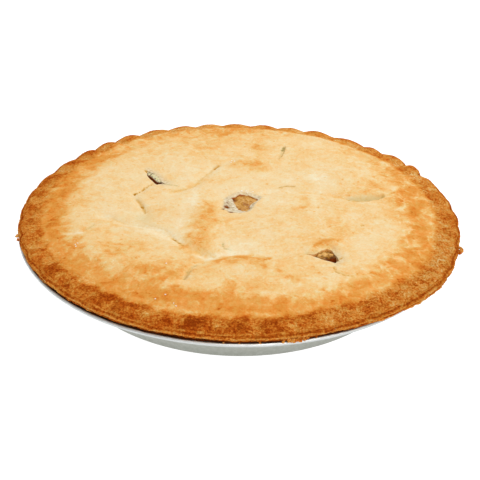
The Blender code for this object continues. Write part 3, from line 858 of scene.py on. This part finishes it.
def linear(*colour):
    """The surface colour that shows as these 0 to 255 screen values in the light on the pie's top."""
    values = np.array(colour) / 255
    values = np.where(values > 0.04045, ((values + 0.055) / 1.055) ** 2.4, values / 12.92)
    return tuple(float(value) for value in np.minimum(values / LIGHT_ON_TOP, 0.95))


# Crust from pale dough to nearly burnt
CRUST_COLOURS = (
    (244, 227, 190), (242, 216, 169), (241, 209, 155), (240, 198, 134), (237, 185, 113), (232, 167, 89),
    (228, 155, 74), (223, 145, 61), (214, 129, 48), (201, 108, 31), (186, 91, 23), (169, 77, 17),
    (147, 60, 11),
)
# Brightness of the layered edge, as browning: (share of the way down, browning)
LAYERS = (
    (0.00, 0.72), (0.16, 0.72), (0.28, 0.90), (0.40, 0.84), (0.52, 0.60), (0.62, 0.56), (0.74, 0.78),
    (0.83, 0.90), (0.92, 0.66), (1.0, 0.56),
)
EDGE_TONES = ((322, 30, -0.03), (90, 80, -0.10), (225, 30, -0.04))
# What pastry reads from a mesh
MASKS = ("browning", "raw", "syrup", "grain", "crease", "sallow", "down", "along", "edge_tone", "veined")


def pastry(name):
    """Baked pastry: browned by its browning, veined, speckled and grained, and pale where it is torn."""
    g = Graph(name)
    browning, raw, syrup, grain, crease, sallow, down, along, edge_tone, veined = map(g.attribute, MASKS)
    swirl = g.add("ShaderNodeTexNoise", {"Vector": g.place, "Scale": 130.0, "Detail": 3.0}).outputs["Color"]
    bend = g.add("ShaderNodeVectorMath", {0: swirl, 1: (0.5, 0.5, 0.5)}, operation="SUBTRACT").outputs[0]
    bend = {0: bend, 1: (0.013, 0.013, 0.013), 2: g.place}
    bent = g.add("ShaderNodeVectorMath", bend, operation="MULTIPLY_ADD").outputs[0]
    cells = g.add("ShaderNodeTexVoronoi", {"Vector": bent, "Scale": 125.0}, feature="DISTANCE_TO_EDGE")
    veins = g.times(g.span(cells.outputs["Distance"], 0.0, 0.20, 1.0, 0.0), veined)
    veins = g.times(veins, g.span(g.noise(0.0075, 2, 0.6), 0.46, 0.60))
    banded = g.span(browning, 0.18, 0.42, 0.34, 1.0)
    patches = g.span(g.noise(0.0105, 4, 0.6, place=bent), 0.43, 0.57, -0.5, 0.5)
    mottle = g.waver(0.0042, 4, 0.7, distortion=0.8)
    speckle = g.waver(0.0011, 2, 0.6)
    threads = g.math("ABSOLUTE", g.waver(0.0021, 2, 0.5, distortion=0.5))
    threads = g.span(threads, 0.0, 0.07, 1.0, 0.0)
    dots = g.span(g.noise(0.0026, 2, 0.5), 0.62, 0.76)
    amount = g.plus(patches, g.times(banded, 0.17), browning)
    for pattern, on_lid, on_rim in ((mottle, 0.30, 0.64), (speckle, 0.25, 0.90), (threads, 0.0, -0.22)):
        amount = g.plus(pattern, g.span(grain, 0, 1.25, on_lid, on_rim), amount)
    amount = g.plus(veins, g.times(banded, -0.19), amount)
    amount = g.plus(dots, g.span(grain, 0, 1, 0.17, 0.0), amount)

    # The layered edge, by how far down the outside a place lies
    run = g.add("ShaderNodeCombineXYZ", {"X": along, "Y": g.times(down, 14.0)}).outputs[0]
    layers = g.noise(0.0075, 4, 0.62, place=run)
    wavy = g.plus(g.waver(0.008, 3, 0.6), 0.0022, down)
    strip = g.ramp(g.span(wavy, 0.0, 0.0046), [(place, (tone,) * 3) for place, tone in LAYERS])
    strip = g.plus(g.math("SUBTRACT", layers, 0.5), 0.75, strip)
    strip = g.plus(mottle, 0.55, strip)
    strip = g.math("ADD", g.plus(speckle, 0.75, strip), edge_tone)
    side = g.span(wavy, -0.0002, 0.0001)
    amount = g.plus(g.math("SUBTRACT", strip, amount), side, amount)

    warmth = g.span(g.noise(0.0042, 4, 0.72, distortion=0.6), 0.36, 0.64)
    warmth = g.ramp(warmth, ((0.0, (0.955, 1.075, 1.13)), (1.0, (1.035, 0.925, 0.86))))
    colour = g.tones(amount, *((step / 12, *tone) for step, tone in enumerate(CRUST_COLOURS)))
    colour = g.mix(banded, colour, warmth, "MULTIPLY")
    torn = ((0.30, 176, 150, 112), (0.48, 213, 195, 161), (0.68, 238, 229, 204))
    colour = g.mix(raw, colour, g.tones(g.noise(0.0016, 3, 0.6), *torn))
    # Cracks in their own darker brown, and painted shade along the slits' near edges and in the case's
    # recess behind the bead
    tint = g.tones(
        crease, (0.0, 228, 184, 106), (0.22, 216, 164, 74), (0.45, 196, 138, 44), (0.7, 140, 86, 26),
        (1.0, 88, 36, 8),
    )
    colour = g.mix(g.span(crease, 0.0, 0.4), colour, tint)
    # Sallow grey-green: crust that stayed raw, and painted shade in the slits and beside the vents
    tint = g.tones(sallow, (0.0, 217, 194, 138), (0.5, 184, 163, 104), (1.0, 112, 90, 40))
    colour = g.mix(g.span(sallow, 0.0, 0.5), colour, tint)
    colour = g.mix(syrup, colour, linear(132, 68, 10))
    height = g.plus(g.times(veins, banded), 0.15, g.noise(0.0024, 4, 0.65))
    normal = g.bump(height, g.span(grain, 0, 1.25, 0.0005, 0.0020))
    normal = g.bump(g.noise(0.00065, 3, 0.6), g.span(grain, 0, 1.25, 0.00018, 0.0006), under=normal)
    normal = g.bump(layers, g.times(side, 0.0006), under=normal)
    rough = g.span(g.noise(0.004, 2, 0.5), 0.3, 0.7, 0.48, 0.66)
    return g.shade(
        Base_Color=colour, Roughness=g.plus(syrup, -0.35, rough), Normal=normal,
        Specular_IOR_Level=g.times(syrup, 0.05),
    )


# The pieces


def browning_at(x, y):
    """Browning of the upper face at places in metres."""
    angle, share = around(x, y)
    degrees = np.degrees(angle) % 360
    turns, *bands = zip(*BROWNING, (360, *BROWNING[0][1:]))
    outer, gold, rim, rim_edge = (np.interp(degrees, turns, band) for band in bands)
    spot = on_plane(x, y)
    wander = 0.024 * noise(spot, 0.020, 21, 3)
    peaks = flute_phase(angle) - np.interp(degrees, *zip(*RIM_ARCHES))
    arches = (0.007 + 0.005 * bump(angle, 35, 30)) * np.cos(math.tau * peaks) + bumps(angle, RIM_REACH)
    arch = flute_arch(angle)
    in_rim = smooth_step(share + 0.006 * noise(spot, 0.006, 25, 3) + arches, RIM_START, RIM_END)
    amount = BASE_BROWNING + 0.06 * noise(spot, 0.024, 23, 2)
    amount += outer * smooth_step(share + wander, OUTER_START, OUTER_END)
    amount += gold * smooth_step(share + wander, GOLD_START, GOLD_END)
    amount += (rim + 0.12 * (arch - 0.6)) * in_rim
    amount += rim_edge * smooth_step(share, 0.93, 0.97)
    # A paler line just inside the rim: a painted highlight along the ridge where the rim begins
    inner_line = share + arches + 0.003 * noise(spot, 0.007, 28, 2)
    line = falloff(inner_line - RIM_START + 0.008, 0.007) * bumps(angle, RIM_HIGHLIGHT_LINE)
    amount -= (0.06 + 0.05 * noise(spot, 0.015, 29, 2)) * line
    tips = smooth_step(share, 0.945, 0.985) * arch**2
    amount += 0.18 * tips * bump(angle, 95, 60)
    u, v = x / LIP_RADIUS, y / LIP_RADIUS
    warp = 0.03 * noise(spot, 0.012, 27, 3)
    amount += PATCH_GAIN * lobes(100 * (u + warp), 100 * (v - warp), PATCHES) / 100
    amount += traces(100 * u + 30 * warp, 100 * v - 30 * warp, STREAKS) / 100
    return amount + 52 * relief(u, v) * (1 - smooth_step(share, 0.75, 0.85))


def resampled(outline, count):
    """The middle in metres of points at even steps round a closed outline, and they from there."""
    corners = np.array((*outline, outline[0])) * LIP_RADIUS
    lengths = np.concatenate([[0], np.cumsum(np.hypot(*np.diff(corners, axis=0).T))])
    along = np.linspace(0, lengths[-1], count, endpoint=False)
    points = np.stack([np.interp(along, lengths, column) for column in corners.T], 1)
    middle = points.mean(axis=0)
    return middle, points - middle


def vent_cutter(name, outline, taper, seed):
    """A ragged prism through the lid that narrows downwards."""
    middle, base = resampled(outline, VENT_ROUND)
    outward = base / np.maximum(np.hypot(*base.T), 1e-9)[:, None]
    top, bottom, steps = PLATEAU - 0.0004, PLATEAU - LID_THICKNESS - 0.0015, 8
    levels = [(PLATEAU + 0.004, 1.12), (PLATEAU + 0.0006, 1.0)]
    for share in np.arange(steps + 1) / steps:
        levels.append((top + (bottom - top) * share, 1 + (taper - 1) * share**1.3))
    rings = []
    for height, scale in levels:
        spot = on_plane(*(middle + base * scale).T, height)
        spot[:, :2] += outward * 0.00022 * noise(spot, 0.0016, seed, 2)[:, None]
        rings.append(spot)
    return make_object(name, *skin_arrays(capped(rings, middle)))


def edge_masks(mesh):
    """How far down the crust's outside each point lies, how far round, and the layers' tone there."""
    x, y, z = coordinates(mesh).T
    angle, share = around(x, y)
    down = (np.minimum(share, 1) - SHOULDER) * LIP_RADIUS
    down += np.maximum(crust_top(x, y) - z, 0) * (share > 0.95)
    down -= 0.0009 * (np.clip(flute_arch(angle), 0, 1.2) - 0.6) * (z > SEAM - 0.0002)
    tone = bumps(angle, EDGE_TONES)
    veined = 0.45 + 0.55 * bump(angle, -15, 55)
    return {"down": down, "along": (angle % math.tau) * LIP_RADIUS, "edge_tone": tone, "veined": veined}


def lid_skin():
    """Points and triangles of the whole lid, with finer ones near what is cut or pressed into it."""
    rim_start = RIM_MESH_START * LIP_RADIUS
    steps = round(rim_start / LID_CELL)
    rings = [disc_ring(rim_start * step / steps, 0.0, LID_CELL) for step in range(steps)]
    angles = flute_angles(LID_RIM_ROUND)
    edge = edge_radius(angles)
    rim_steps = round((1 - RIM_MESH_START) * LIP_RADIUS / RIM_CELL)
    for step in range(rim_steps + 1):
        share = RIM_MESH_START + (1 - RIM_MESH_START) * step / rim_steps
        rings.append(ring(edge * share, 0.0, angles=angles))
    for points in rings:
        points[:, 2] = crust_top(points[:, 0], points[:, 1])
    start = rings[-1][:, 2]
    rings += side_rings(angles, start, SEAM + GAP / 6, LID_SIDE, ragged=0.00032, size=0.0022, seed=31)
    for radius in BRIM_INSIDE * np.arange(10, -1, -1) / 10:
        rings.append(disc_ring(radius, lid_bottom(radius), UNDER_CELL))
    points, faces = skin_arrays(rings)
    top_points = np.arange(len(points)) < sum(len(r) for r in rings[:steps])
    near = near_detail(points[:, 0], points[:, 1]) & top_points
    points, faces = subdivided(points, faces, near, cuts=2)
    upper = (points[:, 2] > PLATEAU - 0.0030) & near_detail(points[:, 0], points[:, 1])
    points[upper, 2] = crust_top(points[upper, 0], points[upper, 1])
    return points, faces


def make_lid():
    lid = make_object("lid_pastry_crust", *lid_skin())
    cutters = [
        vent_cutter(name, outline, taper, 71 + index)
        for index, (name, outline, taper, *_) in enumerate(VENTS)
    ]
    boolean(lid, cutters, "DIFFERENCE", sharp_angle=50)
    x, y, z = coordinates(lid.data).T
    angle, share = around(x, y)
    u, v = x / LIP_RADIUS, y / LIP_RADIUS
    depth = crust_top(x, y) - z
    on_top = depth < 0.0008
    browning = browning_at(x, y)
    raw = smooth_step(centre_slope(u, v), 0.02, 0.25) * (0.95 - 0.4 * smooth_step(v, 0.08, 0.11))
    crease = np.clip(crack_sum(u, v, CRACKS, 2), 0, 1) * on_top
    # Grey-green of raw crust and of painted shade
    sallow = np.clip(crack_sum(u, v, SALLOW_CRACKS, 2) + lobes(u, v, SALLOW_PATCHES), 0, 1) * on_top
    walls = smooth_step(depth, 0.00015, 0.0005) * (share < 0.9)
    syrup = smooth_step(lobes(u, v, PITS), 0.00015, 0.00045)
    for _, outline, _, wall_raw, wall_browning in VENTS:
        wall = walls * (inside_by(u, v, outline) > -NEAR_VENT)
        raw += (wall_raw - raw) * wall
        browning += (wall_browning - browning) * wall
        syrup = np.maximum(syrup, smooth_step(depth, 0.0018, 0.0034) * wall)
    # Each slit's sunken face is painted grey-green, raw crust and painted shade together, and its near edge
    # gets a dark line of painted shade
    for slit in SLITS:
        inside, lip = slit_face(u, v, slit, 0.2, -0.4)
        sallow = np.maximum(sallow, (0.1 + slit[4]) * inside)
        crease = np.maximum(crease, 0.35 * lip)
    lip = near_hole(u, v, LEFT_HOLE, 0.024) * smooth_step(u + 0.5 * v, -0.295, -0.262)
    raw = np.maximum(raw, 0.75 * lip)
    lip = near_hole(u, v, RIGHT_HOLE, 0.022) * smooth_step(u, 0.405, 0.420) * on_top
    raw = np.maximum(raw, 0.60 * lip)
    sallow = np.maximum(sallow, 0.10 * lip)
    grain = smooth_step(share + 0.01 * noise(on_plane(x, y), 0.012, 43, 2), 0.87, 0.93)
    grain = grain * (0.80 + 0.45 * bump(angle, 330, 45))
    set_attributes(
        lid.data, browning=browning, raw=raw, syrup=syrup, grain=grain, crease=crease, sallow=sallow,
        **edge_masks(lid.data),
    )
    finished(lid, "top_crust", pastry("golden_pastry"))


def edge_low(angle):
    """Height of the crust's ragged lower edge, all round."""
    return EDGE_BOTTOM + np.interp(np.degrees(angle) % 360, *zip(*EDGE_LIFT))


def make_case():
    angles = flute_angles(CASE_RIM_ROUND)
    edge = edge_radius(angles)
    outside = tin_line(FOIL + GAP)[:-1]
    brim_top = SEAM - GAP / 6
    rings = turned(outside, CASE_ROUND)
    rings.append(ring(BEAD_CENTRE.x - 0.004, outside[-1].y, angles=angles))
    low = edge_low(angles)
    spot = ring(edge, 0.0, angles=angles)
    low += 0.00032 * noise(spot, 0.0026, 51, 3) + 0.00024 * noise(spot, 0.009, 53, 2)
    recess = np.minimum(BEAD_CENTRE.x - 0.0002, edge - 0.0009)
    rings.append(ring(recess, BEAD_CENTRE.y + BEAD_RADIUS + 0.0001, angles=angles))
    rings.append(ring(recess, np.minimum(low + 0.0002, SEAM - 0.0006), angles=angles))
    rings += side_rings(angles, low, brim_top, CASE_SIDE, ragged=0.00036, size=0.0020, seed=57)
    inside = wall_up_to(tin_line(FOIL + GAP + CASE_THICKNESS), brim_top)
    rings += turned(reversed(inside), CASE_ROUND)
    case = make_object("pastry_case", *skin_arrays(rings), sharp_angle=50)
    x, y, z = coordinates(case.data).T
    inset = edge_radius(np.arctan2(y, x)) - np.hypot(x, y)
    # The recess behind the bead is painted dark brown: burnt underside and painted shade under the crust's
    # edge together
    under = smooth_step(inset, 0.0003, 0.0008) * (z < SEAM - 0.0002)
    set_attributes(
        case.data, browning=0.6, raw=0.0, syrup=0.0, grain=0.8, crease=under, sallow=0.0,
        **edge_masks(case.data),
    )
    finished(case, "bottom_crust", pastry("browned_pastry"))


def make_plug(name, plug, seed, steps=22):
    """Apple that fills a vent's outline up to a domed, lumpy top."""
    outline, shift_x, shift_y, scale, top, fall, roughness, _ = plug
    middle, base = resampled(outline, PLUG_ROUND)
    base = base * scale
    middle = middle + np.array((shift_x, shift_y)) * LIP_RADIUS
    rings = []
    for share in np.arange(1, steps + 1) / steps:
        places = middle + base * share
        height = top - fall * share**3 + lobes(*(places / LIP_RADIUS).T, CHUNKS)
        height = height + roughness * noise(on_plane(*places.T), 0.0030, seed, 3) * (1 - share**6)
        rings.append(np.column_stack([places, height]))
    foot = PLATEAU - LID_THICKNESS - 0.002
    for share in (0.3, 0.6, 1.0):
        rings.append(np.column_stack([middle + base * 1.02, height + (foot - height) * share]))
    return make_object(name, *skin_arrays(capped(rings, middle)))


def filling_surface():
    """Cooked apple: flesh, pale crumbs or amber on top, as pale says, the amber lighter on raised chunks as
    painted light, and a dark gel around it that also paints the shade deep in the vents.
    """
    g = Graph("apple_filling")
    flesh = g.tones(
        g.noise(0.0036, 3, 0.6, distortion=0.6), (0.30, 162, 98, 26), (0.50, 198, 138, 46),
        (0.68, 224, 174, 96),
    )
    # Raised chunks are painted lighter: painted light on their tops
    lumpy = g.plus(g.attribute("raised"), 0.16, g.noise(0.0022, 3, 0.6))
    amber = g.tones(lumpy, (0.34, 104, 60, 8), (0.52, 162, 108, 30), (0.66, 224, 172, 92))
    crumbs = g.tones(
        g.noise(0.0018, 3, 0.6), (0.34, 120, 96, 52), (0.44, 206, 198, 168), (0.56, 240, 224, 158),
        (0.68, 236, 234, 220),
    )
    pale = g.attribute("pale")
    flesh = g.mix(g.span(pale, 0.0, 1.0), flesh, crumbs)
    flesh = g.mix(g.span(pale, -0.5, 0.0, 1.0, 0.0), flesh, amber)
    gel = g.tones(g.noise(0.0030, 2, 0.5), (0.3, 72, 22, 2), (0.7, 116, 48, 8))
    apple = g.attribute("apple")
    return g.shade(
        Base_Color=g.mix(apple, gel, flesh), Roughness=g.span(g.noise(0.0015), 0.3, 0.7, 0.22, 0.45),
        Normal=g.bump(g.noise(0.0009, 3, 0.5), 0.0005), Specular_IOR_Level=g.times(apple, 0.15),
    )


def make_filling():
    rings = turned(wall_up_to(tin_line(FOIL + CASE_THICKNESS + 2 * GAP), SEAM - GAP), FILLING_ROUND)
    for radius in np.arange(FILLING_RADIUS, FILLING_STEP, -FILLING_STEP):
        points = disc_ring(radius, lid_bottom(radius) - GAP, FILLING_CELL)
        points[:, 2] += 0.0004 * noise(points, 0.006, 81, 2) - 0.0004
        rings.append(points)
    rings.append(disc_ring(0, lid_bottom(0) - GAP, FILLING_CELL))
    filling = make_object("filling_apple", *skin_arrays(rings))
    plugs = [make_plug(f"plug_{index}", plug, 83 + index) for index, plug in enumerate(PLUGS)]
    boolean(filling, plugs, "UNION", sharp_angle=60)
    x, y, z = coordinates(filling.data).T
    u, v = x / LIP_RADIUS, y / LIP_RADIUS
    chunks = lobes(u, v, CHUNKS)
    unshaded_apple, pale = np.zeros(len(x)), np.zeros(len(x))
    for outline, shift_x, shift_y, scale, top, *_, paleness in PLUGS:
        left, low = np.mean(outline, axis=0)
        unmoved_u, unmoved_v = (u - shift_x - left) / scale + left, (v - shift_y - low) / scale + low
        here = inside_by(unmoved_u, unmoved_v, outline) > -0.012
        # Painted shade: apple is painted as dark gel where it lies deep below its top and in the trenches
        shaded = smooth_step(top - z, SHADE_START, SHADE_END)
        shaded = np.maximum(shaded, smooth_step(-chunks, TRENCH_START, TRENCH_END))
        unshaded_apple = np.maximum(unshaded_apple, here * (1 - shaded))
        pale = pale + here * paleness
    set_attributes(filling.data, apple=unshaded_apple, pale=pale, raised=smooth_step(chunks, -0.0002, 0.0009))
    finished(filling, "filling", filling_surface())


def foil_surface():
    """Pressed foil: painted shade makes it darker low on the wall, a painted reflection makes the bead
    lighter, and under the crust's edge it is painted brown.
    """
    g = Graph("pressed_foil")
    height = g.add("ShaderNodeSeparateXYZ", {0: g.place}).outputs[2]
    # Painted light by height: painted shade darker low on the wall, and a painted reflection lighter on the
    # bead
    shade = g.ramp(g.span(height, 0.0, 0.0279), (
        (0.0, (0.20, 0.21, 0.17)), (0.30, (0.28, 0.29, 0.245)), (0.88, (0.38, 0.39, 0.35)),
        (0.945, (0.52, 0.54, 0.54)), (0.985, (0.68, 0.69, 0.67)),
    ))
    flat_place = g.add("ShaderNodeMapping", {"Vector": g.place, "Scale": (1, 1, 0)}).outputs[0]
    radius = g.add("ShaderNodeVectorMath", {0: flat_place}, operation="LENGTH").outputs["Value"]
    # Painted shade and a painted brown reflection of the crust, on the bead's inner top under the crust's
    # edge
    crust_shade_and_reflection = g.times(g.span(radius, 0.1207, 0.1212, 0.8, 0.0), g.span(height, 0.0264, 0.0268))
    shade = g.mix(crust_shade_and_reflection, shade, (0.20, 0.09, 0.03))
    streak = g.noise(0.0012, 3, 0.6, stretch=(1, 1, 0.12))
    normal = g.bump(g.noise(0.008, 2, 0.5), 0.0005, 0.5, under=g.bump(streak, 0.00006))
    rough = g.span(g.noise(0.003), 0.3, 0.7, 0.34, 0.48)
    return g.shade(
        Base_Color=g.mix(g.span(streak, 0.3, 0.7, 0.0, 0.16), shade, (0.62, 0.63, 0.62)), Metallic=1.0,
        Roughness=g.math("ADD", rough, g.span(height, 0.0258, 0.0270, 0.0, 0.12)), Normal=normal,
    )


def make_tin():
    under = denser(tin_line(0)[:-1], 0.002)
    upper = denser(tin_line(FOIL)[:-1], 0.004)
    tuck = math.asin(FOIL / 2 / BEAD_RADIUS)
    bead = []
    for turn in np.linspace(math.pi + tuck, 3 * math.pi - tuck, 17):
        bead.append(BEAD_CENTRE + BEAD_RADIUS * Vector((math.cos(turn), math.sin(turn))))
    rings = turned((*under, *bead, *reversed(upper)), TIN_ROUND)
    for points in rings[1:-1]:
        r, z = math.hypot(*points[0, :2]), points[0, 2]
        round_trip = np.column_stack([points[:, :2] / r, np.full(len(points), 3.0)])
        wrinkle = 0.00006 * noise(round_trip, 0.030, 91, 3) + 0.00010 * noise(round_trip, 0.25, 93, 2)
        rolled = smooth_step(r, LIP_RADIUS - 0.0024, LIP_RADIUS - 0.0012)
        crimp = 0.00007 * noise(round_trip + (0, 0, r * 60), 0.022, 95, 2) * rolled
        points[:, :2] *= (1 + (wrinkle * smooth_step(z, 0.004, 0.022) + crimp) / r)[:, None]
        points[:, 2] += crimp * 0.8
    tin = make_object("foil_tin", *skin_arrays(rings), sharp_angle=40)
    finished(tin, "foil_pan", foil_surface())


# Pale flakes on the crust that paint its small glints of light as highlights: (x, y, spread, how many)
GLINT_FLAKES = (
    (-0.0225, 0.465, 0.01, 4), (-0.69, -0.3975, 0.012, 3), (-0.255, -0.81, 0.012, 2),
    (-0.315, -0.7725, 0.014, 2), (0.028, 0.151, 0.012, 3), (0.056, 0.137, 0.008, 3),
    (-0.3, -0.56, 0.01, 1),
)
# Loose crumbs: (angle in degrees, share of the lip's radius, height, size)
CRUMBS = (
    (342.6, 1.031, 0.0318, 0.0014), (341.6, 1.027, 0.0312, 0.001), (343.5, 1.025, 0.032, 0.0008),
    (194, 1.004, 0.0306, 0.0012), (195.2, 1.003, 0.0297, 0.0009),
)
# Grains that lie heaped on the bead: how many, and the middle and spread of their angles in degrees
HEAP = (110, 283.8, 1.5)
# Grains along the crust's lower edge: how many, from which angle in degrees to which
EDGE_GRAINS = (150, 196, 350)
# Single grains on the bead: (angle in degrees, size)
BEAD_CRUMBS = ((267.5, 0.00035), (271.0, 0.0004), (275.6, 0.0005), (288.4, 0.0005), (298.0, 0.0003))


def crumb_places(rng):
    """Rows of (angle, radius, height, size) for the crumbs, then for the flakes that paint glints."""
    rows = [(math.radians(a), share * LIP_RADIUS, z, size) for a, share, z, size in CRUMBS]
    for _ in range(HEAP[0]):
        angle = math.radians(rng.normal(*HEAP[1:]))
        reach = LIP_RADIUS * (0.986 + 0.018 * rng.random())
        rows.append((angle, reach, 0.0281 + 0.0016 * rng.random(), 0.00035 + 0.0005 * rng.random()))
    for _ in range(EDGE_GRAINS[0]):
        angle = math.radians(rng.uniform(*EDGE_GRAINS[1:]))
        radius = float(edge_radius(np.array([angle]))[0]) - 0.0001 - 0.0004 * rng.random()
        height = float(edge_low(angle)) + 0.0002 + 0.0012 * rng.random()
        rows.append((angle, radius, height, 0.00022 + 0.00034 * rng.random() ** 2))
    for angle, size in BEAD_CRUMBS:
        rows.append((math.radians(angle), BEAD_CENTRE.x, BEAD_CENTRE.y + BEAD_RADIUS + 0.0001, size))
    flakes = []
    for x, y, spread, count in GLINT_FLAKES:
        for _ in range(count):
            px, py = (np.array((x, y)) + rng.normal(0, spread, 2) * (1, 0.7)) * LIP_RADIUS
            height = float(crust_top(np.array([px]), np.array([py]))[0]) + 0.00006
            flakes.append((math.atan2(py, px), math.hypot(px, py), height, 0.0003 + 0.0003 * rng.random()))
    return rows, flakes


def make_crumbs():
    rng = np.random.default_rng(7)
    crumb_rows, flake_rows = crumb_places(rng)
    builder = bmesh.new()
    bmesh.ops.create_icosphere(builder, subdivisions=2, radius=1)
    ball, ball_faces = taken_from(builder)
    points = []
    for index, (angle, radius, height, size) in enumerate(crumb_rows + flake_rows):
        shape = ball * (1 + 0.42 * noise(ball + 5.1 * index, 0.7, 97, 2)[:, None])
        shape = shape * size * rng.uniform(0.7, 1.15, 3)
        if index >= len(crumb_rows):
            shape[:, 2] *= 0.25
        points.append(shape + (radius * math.cos(angle), radius * math.sin(angle), height))
    count = len(crumb_rows)
    made = []
    for name, shapes in (("glint_flakes", points[count:]), ("loose_crumbs", points[:count])):
        faces = [ball_faces + len(ball) * index for index in range(len(shapes))]
        made.append(make_object(name, np.concatenate(shapes), np.concatenate(faces)))
    flakes, crumbs = made
    g = Graph("glint_flakes")
    # Painted glints: near-white flakes
    pale = g.ramp(g.noise(0.0008, 3, 0.6), ((0.3, linear(246, 222, 190)), (0.6, (0.95, 0.93, 0.87))))
    g.shade(Base_Color=pale, Roughness=0.4, Normal=g.bump(g.noise(0.0006, 2, 0.5), 0.0002))
    finished(flakes, None, g.material)
    places = coordinates(crumbs.data)
    masks = dict.fromkeys(MASKS, 0.0) | {"grain": 1.0, "down": -0.01}
    masks["browning"] = 0.66 + 0.24 * noise(places, 0.004, 99, 2)
    set_attributes(crumbs.data, **masks)
    finished(crumbs, None, pastry("crumb_pastry"))


# Floor, light and camera


def make_floor():
    bpy.ops.mesh.primitive_plane_add(size=40, location=(0, 0, -0.00005))
    floor = bpy.context.object
    floor.name = "floor"
    g = Graph("pale_floor")
    g.shade(
        Base_Color=(0.35, 0.35, 0.35, 1), Roughness=0.9, Specular_IOR_Level=0.1,
        Emission_Color=(1, 1, 1, 1), Emission_Strength=0.98,
    )
    floor.data.materials.append(g.material)


def area_light(name, place, size, power, aim=(0, 0, 0.02)):
    light = bpy.data.lights.new(name, "AREA")
    light.shape = "DISK"
    light.size = size
    light.energy = power
    made = placed(name, light)
    made.location = place
    made.rotation_euler = (Vector(aim) - Vector(place)).to_track_quat("-Z", "Y").to_euler()


def make_light():
    world = bpy.data.worlds.new("soft_studio")
    world.use_nodes = True
    background = world.node_tree.nodes["Background"]
    background.inputs["Color"].default_value = (1, 1, 1, 1)
    background.inputs["Strength"].default_value = 0.50
    bpy.context.scene.world = world
    area_light("softbox_front", (0.38, -1.0, 0.9), size=0.8, power=8.5)
    area_light("softbox_back", (0.24, 0.95, 1.15), size=0.9, power=12.3)


CAMERA_ELEVATION = math.radians(28.89)
CAMERA_DISTANCE = 4.8159 * LIP_RADIUS
CAMERA_YAW = math.radians(0.17)
CAMERA_PITCH = math.radians(-1.02)
CAMERA_ROLL = math.radians(1.15)
CAMERA_LENS = 77.5


def turn_in_plane(a, b, angle):
    return a * math.cos(angle) + b * math.sin(angle), b * math.cos(angle) - a * math.sin(angle)


def make_camera():
    back = Vector((0, -math.cos(CAMERA_ELEVATION), math.sin(CAMERA_ELEVATION)))
    place = Vector((0, 0, LIP_BOTTOM)) + CAMERA_DISTANCE * back
    forward, right = -back, Vector((1, 0, 0))
    up = right.cross(forward)
    forward, up = turn_in_plane(forward, up, CAMERA_PITCH)
    forward, right = turn_in_plane(forward, right, CAMERA_YAW)
    right, up = turn_in_plane(right, up, CAMERA_ROLL)
    data = bpy.data.cameras.new("camera")
    data.sensor_width = 36
    data.lens = CAMERA_LENS
    data.clip_start = 0.01
    camera = placed("camera", data)
    camera.matrix_world = Matrix.Translation(place) @ Matrix((right, up, -forward)).transposed().to_4x4()
    bpy.context.scene.camera = camera


make_camera()
make_light()
make_floor()
make_tin()
make_case()
make_filling()
make_lid()
make_crumbs()
bpy.context.scene.view_settings.view_transform = "Standard"
